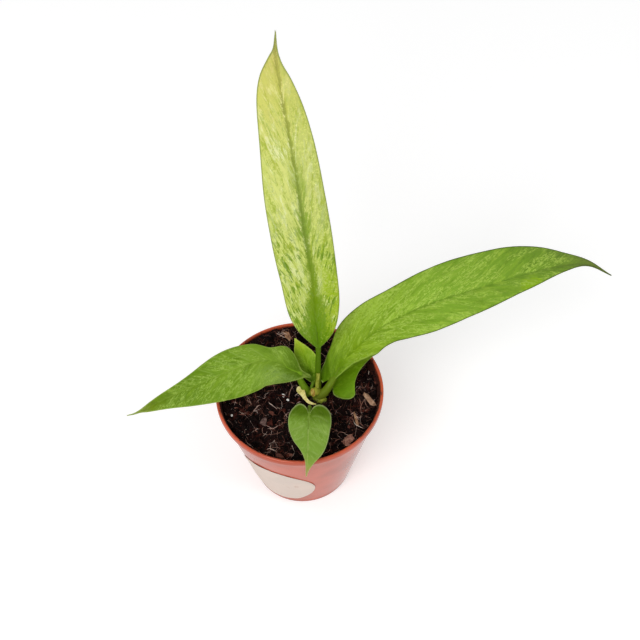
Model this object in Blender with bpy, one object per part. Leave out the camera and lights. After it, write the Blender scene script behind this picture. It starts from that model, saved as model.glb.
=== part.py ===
"""Potted anthurium seedling: a plastic nursery pot of chunky soil with five leaves.

Lengths are in millimetres and are scaled to metres when a mesh is made.
The origin is the centre of the pot's flat underside, +Z points up and -Y is the front.
"""
import math

import bmesh
import bpy
from mathutils import Matrix, Vector, noise

MM = 0.001
GAP = 0.35                 # clearance kept between neighbouring pieces

# Pot
POT_HEIGHT = 70.0
RIM_OUTER_R = 42.5
RIM_INNER_R = 41.3
BEAD_HEIGHT = 3.4
BASE_R = 26.0
BASE_CORNER = 1.2
WALL = 1.0
WALL_TOP_R = 41.4
FLOOR = 1.6
POT_STEPS = 60
DRAIN_HOLES = 6
DRAIN_HOLE_R = 3.0
DRAIN_RING_R = 18.0

# Round paper label stuck on the front left of the wall
LABEL_THICK = 0.3
LABEL_CLEAR = 0.5
LABEL_R = 21.5
LABEL_BEARING = -119.0                   # degrees round the pot, 0 = +X
LABEL_CENTRE_HEIGHT = 26.5               # up the slant of the wall
LABEL_RINGS, LABEL_STEPS = 5, 30

# Soil
SOIL_LEVEL = 63.0
SOIL_SLOPE_X, SOIL_SLOPE_Y = -0.03, 0.05
SOIL_LUMP = 0.9
SOIL_LUMP_SIZE = 7.0
SOIL_RINGS, SOIL_STEPS = 11, 44

# Crown: the short thick stem that the leaf stalks grow from
CROWN_X, CROWN_Y = 9.3, 0.3
CROWN_R = 4.6
CROWN_TOP, CROWN_BOTTOM = 63.2, 42.0

# Leaves
BLADE_THICK = 0.7
RIB_THICK = 1.7
RIB_HALF_WIDTH = 1.6
ROW_SWEEP = 1.2             # how far the rows of faces lean towards the tip
ROW_CROWDING = 1.2          # how much closer the rows stand near the stalk
STALK_SIDES = 12

LEAVES = {
    "leaf_tall": {
        "colour": (0.56, 0.63, 0.17), "rows": 26, "columns": 5, "wave": (0.5, 3.0),
        "midrib": [(10.5, 10.7, 90), (9.3, 26.9, 124), (6.8, 35, 145), (3.8, 46, 177),
                   (1.0, 56, 198), (-1.6, 66.5, 215), (-2.6, 74, 224), (-2.2, 81, 231)],
        "face": (0.05, -0.8, 0.6),
        "left": [(1, 1.5), (5, 5), (11, 9.3), (21, 13.7), (42, 16.2), (63, 16.9), (88, 16.9),
                 (111, 14.6), (133, 11.4), (142, 7.8), (149, 3.4), (155, 1.2), (160.5, 0.4)],
        "right": [(1, 1.5), (6, 6), (12.5, 9.5), (24, 11.9), (42, 12.2), (63, 12.9), (88, 11.9),
                  (112, 10.4), (127, 8), (139, 4.6), (147, 2.2), (155, 0.9), (160.5, 0.4)],
        "fold_left": [(0, 20, -0.02), (1, 12, -0.01)],
        "fold_right": [(0, 20, -0.02), (1, 12, -0.01)],
    },
    "leaf_right": {
        "colour": (0.24, 0.42, 0.06), "rows": 30, "columns": 6, "wave": (0.6, 3.5),
        "midrib": [(18.2, 4.5, 74.5), (23.8, 10.9, 79), (32.6, 15.1, 87), (44.2, 18.3, 96),
                   (56.6, 20.3, 103), (71.3, 22.2, 109), (91, 24.6, 114), (111, 30, 115),
                   (133, 38, 111), (150, 43.6, 104), (163, 43, 95)],
        "face": (0.0, -0.25, 1.0),
        "left": [(-5.7, 4.0), (-3.1, 6.4), (3, 7.8), (9, 9), (18, 14.4), (30, 16.4), (44, 16.4),
                 (66, 18.2), (82, 19.6), (99, 18.6), (115, 15.8), (131, 11), (146, 4.7),
                 (159, 1.5), (168, 0.4)],
        "right": [(-2.5, 2.8), (-6.4, 5), (-8.8, 8), (-8.4, 11.2), (-6.4, 14.2), (-4.4, 15.2),
                  (-1, 13.6), (4, 12.2), (10, 11.8), (17, 10.8), (25, 9.8), (34, 10), (46, 12.4),
                  (58, 14.8), (66, 15), (85, 12.8), (101, 10.4), (116, 7.6), (130, 5),
                  (149, 2.6), (160, 1.2), (168, 0.4)],
        "fold_left": [(0, 10, -0.02), (1, 5, -0.02)],
        "fold_right": [(-0.06, -48, 0.05), (0.03, -48, 0.045), (0.12, -32, 0.015),
                       (0.25, -6, -0.01), (0.4, 12, -0.015), (1, 12, -0.015)],
    },
    "leaf_left": {
        "colour": (0.2, 0.33, 0.03), "rows": 22, "columns": 5, "wave": (0.8, 2.5),
        "midrib": [(1.2, 5.7, 76.2), (-4.2, 6.2, 79.8), (-9, 7.8, 83), (-15.9, 9, 85),
                   (-22, 7.5, 85.5), (-33.5, 4.1, 84.5), (-49, -0.3, 81), (-67, -5.6, 76.5),
                   (-82.5, -10.6, 72.5), (-86, -11, 71.8)],
        "face": (0.1, -0.2, 1.0),
        "left": [(-5, 0.8), (-2, 2.8), (5, 6), (15, 12.6), (34, 14.2), (46, 13.3), (56, 11.2),
                 (70, 6.6), (85, 2.4), (92, 1.2), (95.5, 0.4)],
        "right": [(-1, 1.0), (0.5, 3.2), (5.4, 7.3), (12.5, 9), (19, 7.4), (26, 9.8), (36, 10.5),
                  (47, 9.3), (65, 5), (82, 2.3), (91, 1.2), (95.5, 0.4)],
        "fold_left": [(0, -10, -0.02), (1, -5, -0.01)],
        "fold_right": [(0, 15, -0.02), (1, 5, -0.01)],
    },
    "leaf_front": {
        "colour": (0.17, 0.29, 0.05), "rows": 14, "columns": 5, "wave": (0.25, 2.0),
        "midrib": [(4.1, -19, 80), (3.4, -28, 80.6), (2.8, -36, 79.6), (2.2, -43, 77),
                   (1.0, -52, 73)],
        "face": (0.0, -0.3, 1.0),
        "left": [(-2, 1.5), (-3.6, 5), (-1, 9), (6, 11.3), (13, 10.8), (19, 8.8), (25, 5),
                 (30, 2.0), (34.3, 0.4)],
        "right": [(-2, 1.5), (-4, 4.5), (-1, 8.5), (6, 10.3), (13, 9.2), (19, 7), (25, 3.8),
                  (30, 1.6), (34.3, 0.4)],
        "fold_left": [(0, 8, -0.03), (1, 5, -0.02)],
        "fold_right": [(0, 8, -0.03), (1, 5, -0.02)],
    },
    "leaf_young": {
        "colour": (0.13, 0.25, 0.02), "rows": 12, "columns": 4, "wave": (0.15, 2.0),
        "midrib": [(7.1, 5.9, 66.6), (4.1, 13.8, 74), (-1.0, 23.6, 81.5)],
        "face": (-0.2, -0.6, 0.8),
        "left": [(0.5, 0.9), (4, 3.6), (9, 5.2), (14, 5), (19, 3.2), (23, 1.3), (24.7, 0.4)],
        "right": [(0.5, 0.9), (4, 4.6), (9, 6.6), (14, 6), (19, 3.6), (23, 1.3), (24.7, 0.4)],
        "fold_left": [(0, 20, -0.02), (1, 10, -0.01)],
        "fold_right": [(0, 20, -0.02), (1, 10, -0.01)],
    },
}

# Stalks: radius at the foot, radius at the blade, colour, points along the middle
STALKS = {
    "stalk_tall": (1.4, 1.1, (0.16, 0.33, 0.02),
                   [(9.6, 1.9, 64.1), (9.6, 4.5, 70), (10.0, 7.8, 79), (10.5, 10.7, 89.5)]),
    "stalk_right": (2.1, 1.6, (0.2, 0.36, 0.03),
                    [(9.9, -2.0, 65.7), (13.2, -1.6, 67), (15.2, -0.2, 69.6), (16.3, 1.6, 71.8)]),
    "stalk_left": (1.2, 1.0, (0.24, 0.42, 0.03),
                   [(3.2, 2.6, 64.1), (2.9, 3.5, 67.5), (2.3, 4.5, 71), (1.9, 4.9, 73.0)]),
    "stalk_front": (1.1, 0.9, (0.19, 0.33, 0.03),
                    [(4.5, -6.6, 54), (4.5, -7.2, 62), (4.6, -11, 70), (4.4, -16.2, 77),
                     (4.2, -17.8, 78.4)]),
    "stalk_young": (0.9, 0.8, (0.16, 0.3, 0.02),
                    [(5.7, 4.2, 64.2), (6.2, 4.6, 65.0), (6.8, 5.2, 66.0)]),
}

# Small dry pieces of old growth on the crown
STUB_R = 1.7
STUB_POINTS = [(6.4, 1.9, 64.4), (6.2, 0.4, 66.4), (5.7, -1.8, 68.2)]
STUB_CUT = (-0.75, -0.45, 0.48)          # way that the cut face looks
STRIPS = {
    # width at the middle, thickness, colour, points along the middle, way that the face looks
    "old_sheath": (2.6, 0.5, (0.55, 0.5, 0.2),
                   [(7.3, 2.0, 68.1), (8.1, 2.3, 72.8), (9.3, 4.0, 77.2)], (0.0, -0.9, 0.4)),
    "dry_cataphyll": (3.4, 0.5, (0.5, 0.46, 0.18),
                      [(-0.3, 3.0, 65.3), (1.3, 0.5, 65.3), (2.6, -2.5, 64.8), (4.4, -4.8, 64.4),
                       (6.8, -5.8, 64.4)], (-0.2, -0.4, 0.9)),
}

# Loose bits lying on the soil: length, width, height, x, y, bearing, tilt, colour
CHIPS = {
    "wood_splinter": (9.6, 1.6, 1.0, 35.5, -3.6, -58.0, 4.0, (0.38, 0.22, 0.12)),
    "bark_chip_front": (6.2, 3.8, 1.8, 22.4, -27.0, 35.0, 6.0, (0.3, 0.13, 0.1)),
    "bark_chip_back": (5.6, 3.2, 1.5, -5.0, 37.4, 20.0, 5.0, (0.2, 0.11, 0.07)),
    "bark_chip_left": (4.6, 2.8, 1.4, -18.6, -14.0, 70.0, 8.0, (0.24, 0.2, 0.18)),
    "twig_right": (9.0, 1.2, 1.0, 27.6, -14.6, -80.0, 3.0, (0.33, 0.24, 0.13)),
}
PERLITE = {
    "perlite_1": (1.1, -8.3, 0.9),
    "perlite_2": (0.9, -6.3, -1.3),
    "perlite_3": (1.2, -34.8, -9.6),
}


def material(name, colour, roughness=0.6, metallic=0.0):
    """Make a Principled material of one colour."""
    made = bpy.data.materials.new(name)
    made.use_nodes = True
    shader = made.node_tree.nodes["Principled BSDF"]
    shader.inputs["Base Color"].default_value = (*colour, 1.0)
    shader.inputs["Roughness"].default_value = roughness
    shader.inputs["Metallic"].default_value = metallic
    made.diffuse_color = (*colour, 1.0)
    return made


def add_mesh(name, build, colour, roughness=0.6):
    """Link an object whose mesh is filled in by build(bm), in millimetres."""
    mesh = bpy.data.meshes.new(name)
    bm = bmesh.new()
    build(bm)
    bmesh.ops.scale(bm, vec=Vector((MM, MM, MM)), verts=bm.verts)
    bm.to_mesh(mesh)
    bm.free()
    mesh.shade_smooth()
    mesh.set_sharp_from_angle(angle=math.radians(40))
    piece = bpy.data.objects.new(name, mesh)
    bpy.context.scene.collection.objects.link(piece)
    mesh.materials.append(material(name, colour, roughness))
    return piece


def smooth_path(points, count):
    """Read evenly spaced points from a centripetal Catmull-Rom curve through the points."""
    points = [Vector(point) for point in points]
    ends = [2 * points[0] - points[1], *points, 2 * points[-1] - points[-2]]
    dense = []
    for a, b, c, d in zip(ends, ends[1:], ends[2:], ends[3:]):
        steps = 24
        for step in range(steps):
            dense.append(catmull_rom(a, b, c, d, step / steps))
    dense.append(points[-1])
    return resample(dense, count)


def catmull_rom(a, b, c, d, t):
    """Give the point at t between b and c."""
    knots = [0.0]
    for p, q in ((a, b), (b, c), (c, d)):
        knots.append(knots[-1] + max((q - p).length, 1e-6) ** 0.5)
    k0, k1, k2, k3 = knots
    x = k1 + t * (k2 - k1)
    ab = a.lerp(b, (x - k0) / (k1 - k0))
    bc = b.lerp(c, (x - k1) / (k2 - k1))
    cd = c.lerp(d, (x - k2) / (k3 - k2))
    abc = ab.lerp(bc, (x - k0) / (k2 - k0))
    bcd = bc.lerp(cd, (x - k1) / (k3 - k1))
    return abc.lerp(bcd, (x - k1) / (k2 - k1))


def resample(dense, count):
    """Space count points evenly along a polyline."""
    lengths = [0.0]
    for p, q in zip(dense, dense[1:]):
        lengths.append(lengths[-1] + (q - p).length)
    result = []
    index = 0
    for step in range(count):
        goal = lengths[-1] * step / (count - 1)
        while index < len(dense) - 2 and lengths[index + 1] < goal:
            index += 1
        span = lengths[index + 1] - lengths[index]
        result.append(dense[index].lerp(dense[index + 1], (goal - lengths[index]) / span))
    return result


def table(rows, t):
    """Read a list of (t, value, value...) rows at t, straight between rows."""
    if t <= rows[0][0]:
        return rows[0][1:]
    for low, high in zip(rows, rows[1:]):
        if t <= high[0]:
            share = (t - low[0]) / (high[0] - low[0])
            return [a + share * (b - a) for a, b in zip(low[1:], high[1:])]
    return rows[-1][1:]


class Blade:
    """The curved surface of a leaf blade, measured along and across its midrib."""

    SAMPLES = 161

    def __init__(self, leaf):
        self.leaf = leaf
        self.path = smooth_path(leaf["midrib"], self.SAMPLES)
        self.length = sum((q - p).length for p, q in zip(self.path, self.path[1:]))

    def frame(self, along):
        """Give the midrib's point, direction, side and normal at a distance along it."""
        last = self.SAMPLES - 1
        reach = min(max(along / self.length, 0.0), 1.0) * last
        index = min(int(reach), last - 1)
        point = self.path[index].lerp(self.path[index + 1], reach - index)
        before = self.path[max(index - 4, 0)]
        after = self.path[min(index + 5, last)]
        forward = (after - before).normalized()
        side = forward.cross(Vector(self.leaf["face"])).normalized()
        over = along - min(max(along, 0.0), self.length)
        return point + forward * over, forward, side, side.cross(forward)

    def point(self, along, across, hand):
        """Bend a flat spot of the blade (across is positive; hand is -1 or 1) into place."""
        middle, forward, side, normal = self.frame(along)
        fold = self.leaf["fold_right" if hand > 0 else "fold_left"]
        degrees, curl = table(fold, along / self.length)
        angle = math.radians(degrees)
        turned = angle + curl * across
        if abs(curl) < 1e-5:
            out, up = across * math.cos(angle), across * math.sin(angle)
        else:
            out = (math.sin(turned) - math.sin(angle)) / curl
            up = (math.cos(angle) - math.cos(turned)) / curl
        height, waves = self.leaf["wave"]
        ripple = math.sin(math.tau * waves * along / self.length + hand)
        up += height * ripple * min(across / 8.0, 1.0) ** 2
        return middle + side * (out * hand) + normal * up


def blade_rows(leaf):
    """List the blade's rows of (point, distance from the midrib), from lobes to tip."""
    blade = Blade(leaf)
    rows, columns = leaf["rows"], leaf["columns"]
    last = Blade.SAMPLES - 1
    edges = {}
    for hand, key in ((-1, "left"), (1, "right")):
        edges[hand] = smooth_path([(a, b, 0.0) for a, b in leaf[key]], last + 1)
    result = []
    for row in range(rows + 1):
        step = (row / rows) ** ROW_CROWDING
        root = blade.length * step ** ROW_SWEEP
        line = []
        for column in range(-columns, columns + 1):
            share = abs(column) / columns
            hand = -1 if column < 0 else 1
            edge = edges[hand][round(step * last)]
            along = root + (edge.x - root) * share ** 1.2
            across = edge.y * share
            line.append((blade.point(along, across, hand), across))
        result.append(line)
    return result


def add_blade(name, leaf):
    """Make a blade: a grid of faces thickened downwards, thickest along the midrib."""
    rows = blade_rows(leaf)
    ribs = []

    def build(bm):
        grid = []
        for line in rows:
            grid.append([bm.verts.new(point) for point, across in line])
            ribs.extend(across for point, across in line)
        for low, high in zip(grid, grid[1:]):
            for a, b, c, d in zip(low, low[1:], high[1:], high):
                bm.faces.new((a, b, c, d))

    piece = add_mesh(name, build, leaf["colour"], 0.35)
    group = piece.vertex_groups.new(name="rib")
    for index, across in enumerate(ribs):
        group.add([index], max(1.0 - across / RIB_HALF_WIDTH, 0.0), "REPLACE")
    shell = piece.modifiers.new("Thickness", "SOLIDIFY")
    shell.thickness = RIB_THICK * MM
    shell.offset = -1.0
    shell.vertex_group = group.name
    shell.thickness_vertex_group = BLADE_THICK / RIB_THICK
    return piece


def tube_rings(bm, path, radii, sides):
    """Add rings of vertices square to a path and join them into a closed tube."""
    rings = []
    across = Vector((1.0, 0.0, 0.0))
    for index, point in enumerate(path):
        before = path[max(index - 1, 0)]
        after = path[min(index + 1, len(path) - 1)]
        forward = (after - before).normalized()
        across = (across - forward * across.dot(forward)).normalized()
        up = forward.cross(across)
        ring = []
        for side in range(sides):
            angle = math.tau * side / sides
            reach = across * math.cos(angle) + up * math.sin(angle)
            ring.append(bm.verts.new(point + reach * radii[index]))
        rings.append(ring)
    for low, high in zip(rings, rings[1:]):
        for side in range(sides):
            nxt = (side + 1) % sides
            bm.faces.new((low[side], low[nxt], high[nxt], high[side]))
    bm.faces.new(list(reversed(rings[0])))
    bm.faces.new(rings[-1])
    return rings


def add_tube(name, points, foot, top, colour, count=12):
    """Make a tapering round tube with rounded-off ends."""
    path = smooth_path(points, count)
    radii = [foot + (top - foot) * index / (count - 1) for index in range(count)]
    radii[0] *= 0.8
    radii[-1] *= 0.8

    def build(bm):
        tube_rings(bm, path, radii, STALK_SIDES)

    return add_mesh(name, build, colour, 0.4)


def add_strip(name, width, thick, colour, points, face):
    """Make a thin, channelled strip that narrows at its ends."""
    count, columns = 10, 2
    path = smooth_path(points, count)

    def build(bm):
        grid = []
        for index, point in enumerate(path):
            before = path[max(index - 1, 0)]
            after = path[min(index + 1, count - 1)]
            forward = (after - before).normalized()
            side = forward.cross(Vector(face)).normalized()
            normal = side.cross(forward)
            half = 0.5 * width * (0.3 + 0.7 * math.sin(math.pi * (index + 0.5) / count))
            line = []
            for column in range(-columns, columns + 1):
                share = column / columns
                place = point + side * (half * share) + normal * (0.35 * half * share ** 2)
                line.append(bm.verts.new(place))
            grid.append(line)
        for low, high in zip(grid, grid[1:]):
            for a, b, c, d in zip(low, low[1:], high[1:], high):
                bm.faces.new((a, b, c, d))

    piece = add_mesh(name, build, colour, 0.7)
    shell = piece.modifiers.new("Thickness", "SOLIDIFY")
    shell.thickness = thick * MM
    shell.offset = -1.0
    return piece


def soil_height(x, y):
    """Give the height of the lumpy soil at x, y."""
    level = SOIL_LEVEL + SOIL_SLOPE_X * x + SOIL_SLOPE_Y * y
    lumps = noise.noise(Vector((x, y, 0.0)) / SOIL_LUMP_SIZE)
    return level + SOIL_LUMP * lumps


def wall_radius(height):
    """Give the outer radius of the pot's tapered wall at a height."""
    top = POT_HEIGHT - BEAD_HEIGHT
    return BASE_R + (WALL_TOP_R - BASE_R) * height / top


def pot_profile():
    """List the pot's section (radius, height) from the inner floor over the rim to the base."""
    top = POT_HEIGHT - BEAD_HEIGHT
    inner_foot = wall_radius(FLOOR + 1.0) - WALL
    return [
        (0.0, FLOOR), (inner_foot - 1.2, FLOOR), (inner_foot, FLOOR + 1.0),
        (WALL_TOP_R - WALL, top), (RIM_INNER_R - 0.3, POT_HEIGHT - 0.5),
        (RIM_INNER_R, POT_HEIGHT), (RIM_OUTER_R - 0.4, POT_HEIGHT),
        (RIM_OUTER_R, POT_HEIGHT - 0.5), (RIM_OUTER_R, top + 0.4),
        (RIM_OUTER_R - 0.4, top), (WALL_TOP_R, top - 0.2),
        (wall_radius(BASE_CORNER), BASE_CORNER), (BASE_R - 0.1, 0.3),
        (BASE_R - 0.8, 0.0), (0.0, 0.0),
    ]


def add_pot():
    """Turn the pot from its section and cut its drain holes."""
    section = pot_profile()

    def build(bm):
        line = [bm.verts.new((radius, 0.0, height)) for radius, height in section]
        for a, b in zip(line, line[1:]):
            bm.edges.new((a, b))

    pot = add_mesh("pot", build, (0.69, 0.13, 0.08), 0.3)
    turn = pot.modifiers.new("Turn", "SCREW")
    turn.steps = POT_STEPS
    turn.render_steps = POT_STEPS
    turn.use_merge_vertices = True
    turn.merge_threshold = 0.00001
    for hole in range(DRAIN_HOLES):
        angle = math.tau * (hole + 0.5) / DRAIN_HOLES
        x, y = DRAIN_RING_R * math.cos(angle), DRAIN_RING_R * math.sin(angle)
        cut(pot, f"drain_cutter_{hole}", round_cutter(x, y, DRAIN_HOLE_R, -4.0, 6.0))
    return pot


def round_cutter(x, y, radius, low, high, sides=16):
    """Give a builder for an upright cylinder used as a cutter."""
    def build(bm):
        centre = Matrix.Translation((x, y, (low + high) / 2))
        bmesh.ops.create_cone(bm, cap_ends=True, segments=sides, radius1=radius,
                              radius2=radius, depth=high - low, matrix=centre)
    return build


def cut(piece, name, build):
    """Cut a shape out of a piece with a Boolean modifier."""
    cutter = add_mesh(name, build, (0.5, 0.5, 0.5))
    cutter.hide_render = True
    cutter.display_type = "WIRE"
    boolean = piece.modifiers.new(name, "BOOLEAN")
    boolean.operation = "DIFFERENCE"
    boolean.solver = "EXACT"
    boolean.object = cutter


def add_label():
    """Lay a thin disc on the pot's tapered wall."""
    top = POT_HEIGHT - BEAD_HEIGHT
    slant = math.hypot(top, WALL_TOP_R - BASE_R)
    sine = (WALL_TOP_R - BASE_R) / slant
    apex = BASE_R / sine

    def place(x, y):
        """Roll a flat spot, measured from the disc's centre, onto the cone of the wall."""
        y += LABEL_CENTRE_HEIGHT + apex
        away = math.hypot(x, y)
        angle = math.radians(LABEL_BEARING) + math.atan2(x, y) / sine
        radius = away * sine + LABEL_CLEAR + LABEL_THICK
        height = (away - apex) * top / slant
        return (radius * math.cos(angle), radius * math.sin(angle), height)

    def build(bm):
        centre = bm.verts.new(place(0.0, 0.0))
        rings = []
        for ring in range(1, LABEL_RINGS + 1):
            reach = LABEL_R * ring / LABEL_RINGS
            line = []
            for step in range(LABEL_STEPS):
                angle = math.tau * step / LABEL_STEPS
                line.append(bm.verts.new(place(reach * math.cos(angle), reach * math.sin(angle))))
            rings.append(line)
        for step in range(LABEL_STEPS):
            nxt = (step + 1) % LABEL_STEPS
            bm.faces.new((centre, rings[0][step], rings[0][nxt]))
            for low, high in zip(rings, rings[1:]):
                bm.faces.new((low[nxt], low[step], high[step], high[nxt]))

    label = add_mesh("pot_label", build, (0.78, 0.66, 0.55), 0.7)
    shell = label.modifiers.new("Thickness", "SOLIDIFY")
    shell.thickness = LABEL_THICK * MM
    shell.offset = -1.0
    return label


def add_soil():
    """Fill the pot with soil that has a lumpy top and pockets for the stems."""
    floor = FLOOR + GAP
    foot = wall_radius(FLOOR + 1.0) - WALL - 1.2

    def build(bm):
        peak = bm.verts.new((0.0, 0.0, soil_height(0.0, 0.0)))
        rings = []
        for ring in range(1, SOIL_RINGS + 1):
            line = []
            for step in range(SOIL_STEPS):
                angle = math.tau * step / SOIL_STEPS
                reach = ring / SOIL_RINGS
                x, y = math.cos(angle), math.sin(angle)
                edge = wall_radius(60.0) - WALL - GAP - 0.1
                height = soil_height(x * edge * reach, y * edge * reach)
                if ring == SOIL_RINGS:
                    height -= 0.6
                    edge = wall_radius(height) - WALL - GAP - 0.1
                line.append(bm.verts.new((x * edge * reach, y * edge * reach, height)))
            rings.append(line)
        for radius, height in ((foot, floor + 1.2), (foot - 1.0, floor)):
            line = []
            for step in range(SOIL_STEPS):
                angle = math.tau * step / SOIL_STEPS
                line.append(bm.verts.new((radius * math.cos(angle),
                                          radius * math.sin(angle), height)))
            rings.append(line)
        for step in range(SOIL_STEPS):
            nxt = (step + 1) % SOIL_STEPS
            bm.faces.new((peak, rings[0][step], rings[0][nxt]))
            for low, high in zip(rings, rings[1:]):
                bm.faces.new((low[nxt], low[step], high[step], high[nxt]))
        bm.faces.new(list(reversed(rings[-1])))

    soil = add_mesh("soil", build, (0.045, 0.022, 0.018), 0.95)
    pocket = round_cutter(CROWN_X, CROWN_Y, CROWN_R + GAP, CROWN_BOTTOM - GAP, 80.0, 20)
    cut(soil, "crown_cutter", pocket)
    foot_r, top_r, colour, points = STALKS["stalk_front"]
    x, y, z = points[0]
    cut(soil, "front_stalk_cutter", round_cutter(x, y - 0.7, foot_r + 0.9, z - GAP, 80.0, 12))
    return soil


def add_crown():
    """Make the short thick stem, domed at the top and rounded at the bottom."""
    rings = ((0.35, 0.0), (0.75, 0.9), (1.0, 2.6), (0.94, 9.0), (0.98, 13.0), (1.0, 18.0),
             (0.86, 20.2), (0.5, 21.2))

    def build(bm):
        path = [Vector((CROWN_X, CROWN_Y, CROWN_BOTTOM + rise)) for share, rise in rings]
        tube_rings(bm, path, [CROWN_R * share for share, rise in rings], 16)

    return add_mesh("crown_stem", build, (0.2, 0.2, 0.05), 0.7)


def add_stub():
    """Make the stub of an old stalk with a slanting cut face."""
    path = [Vector(point) for point in STUB_POINTS]

    def build(bm):
        rings = tube_rings(bm, path, [STUB_R * 0.8, STUB_R, STUB_R * 1.05], 12)
        normal = Vector(STUB_CUT).normalized()
        forward = (path[-1] - path[-2]).normalized()
        for vertex in rings[-1]:
            offset = vertex.co - path[-1]
            vertex.co -= forward * (offset.dot(normal) / forward.dot(normal)) * 0.5

    return add_mesh("cut_stalk_stub", build, (0.29, 0.23, 0.05), 0.6)


def add_chip(name, size):
    """Make a rough wedge-ended chip that lies on the soil."""
    length, width, height, x, y, bearing, tilt, colour = size

    def build(bm):
        bmesh.ops.create_cube(bm, size=1.0)
        bmesh.ops.subdivide_edges(bm, edges=bm.edges[:], cuts=1, use_grid_fill=True)
        for vertex in bm.verts:
            shrink = 1.0 - 0.5 * abs(vertex.co.x) - 0.25 * (vertex.co.x > 0.2)
            rough = noise.noise(vertex.co * 3.1 + Vector((x, y, 0.0))) * 0.25
            vertex.co.y *= shrink
            vertex.co.z *= shrink + rough
        bmesh.ops.scale(bm, vec=Vector((length, width, height)), verts=bm.verts)
        turn = Matrix.Rotation(math.radians(bearing), 4, "Z")
        turn @= Matrix.Rotation(math.radians(tilt), 4, "Y")
        bmesh.ops.transform(bm, matrix=turn, verts=bm.verts)
        lowest = max(soil_height(x + v.co.x, y + v.co.y) - v.co.z for v in bm.verts)
        bmesh.ops.translate(bm, vec=Vector((x, y, lowest + GAP)), verts=bm.verts)

    return add_mesh(name, build, colour, 0.85)


def add_perlite(name, radius, x, y):
    """Make a rough white grain that lies on the soil."""
    def build(bm):
        bmesh.ops.create_icosphere(bm, subdivisions=2, radius=radius)
        for vertex in bm.verts:
            vertex.co *= 1.0 + 0.25 * noise.noise(vertex.co * 1.3 + Vector((x, y, 0.0)))
        lowest = max(soil_height(x + v.co.x, y + v.co.y) - v.co.z for v in bm.verts)
        bmesh.ops.translate(bm, vec=Vector((x, y, lowest + GAP)), verts=bm.verts)

    return add_mesh(name, build, (0.8, 0.76, 0.68), 0.9)


def main():
    """Clear the scene and make every piece."""
    for item in list(bpy.data.objects):
        bpy.data.objects.remove(item, do_unlink=True)
    add_pot()
    add_label()
    add_soil()
    add_crown()
    for name, (foot, top, colour, points) in STALKS.items():
        add_tube(name, points, foot, top, colour)
    for name, leaf in LEAVES.items():
        add_blade(name, leaf)
    add_stub()
    for name, (width, thick, colour, points, face) in STRIPS.items():
        add_strip(name, width, thick, colour, points, face)
    for name, size in CHIPS.items():
        add_chip(name, size)
    for name, (radius, x, y) in PERLITE.items():
        add_perlite(name, radius, x, y)


main()
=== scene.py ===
"""Potted anthurium seedling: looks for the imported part, laid out as an add-on.

The pot stands on the floor with +Z up and its front towards -Y. Lengths in the
tables below are millimetres; everything that reaches Blender is in metres.
"""

import math
import random

import bpy
import numpy as np
from bpy.props import FloatProperty, FloatVectorProperty, IntProperty, PointerProperty
from mathutils import Matrix, Vector, noise


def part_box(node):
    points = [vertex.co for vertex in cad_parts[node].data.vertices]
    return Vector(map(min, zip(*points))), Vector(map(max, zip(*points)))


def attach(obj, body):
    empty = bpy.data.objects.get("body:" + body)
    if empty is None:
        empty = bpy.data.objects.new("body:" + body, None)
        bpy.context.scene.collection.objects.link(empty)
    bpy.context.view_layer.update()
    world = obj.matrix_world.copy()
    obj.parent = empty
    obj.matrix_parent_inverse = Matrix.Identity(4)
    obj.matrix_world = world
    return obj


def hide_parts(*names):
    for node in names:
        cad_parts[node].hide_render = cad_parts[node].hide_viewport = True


bl_info = {
    "name": "Potted Anthurium",
    "version": (1, 0, 0),
    "blender": (4, 5, 0),
    "location": "View3D > Sidebar > Anthurium",
    "description": "Builds a variegated anthurium seedling in a nursery pot",
    "category": "Add Mesh",
}

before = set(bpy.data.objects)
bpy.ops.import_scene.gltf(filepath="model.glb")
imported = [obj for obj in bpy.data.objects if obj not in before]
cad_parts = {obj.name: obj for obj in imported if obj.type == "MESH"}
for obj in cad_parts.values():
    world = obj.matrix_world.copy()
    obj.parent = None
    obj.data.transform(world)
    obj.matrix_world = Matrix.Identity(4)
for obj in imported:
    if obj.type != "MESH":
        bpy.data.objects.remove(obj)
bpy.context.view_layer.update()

MM = 0.001
BODY = "root"
POT_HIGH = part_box("pot")[1]

# Thickness of the pot's wall and how far under the rim's top it ends (mm)
WALL, RIM_DROP = 1.0, 3.4
# Radius and level of the soil, and the spots of the crown and of a dip beside it (mm)
SOIL_RADIUS, SOIL_LEVEL = 39.2, 62.8
CROWN_SPOT, DIP_SPOT = (9.3, 0.3), (24.0, -1.5)

# ---------------------------------------------------------------- plant tables

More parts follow.
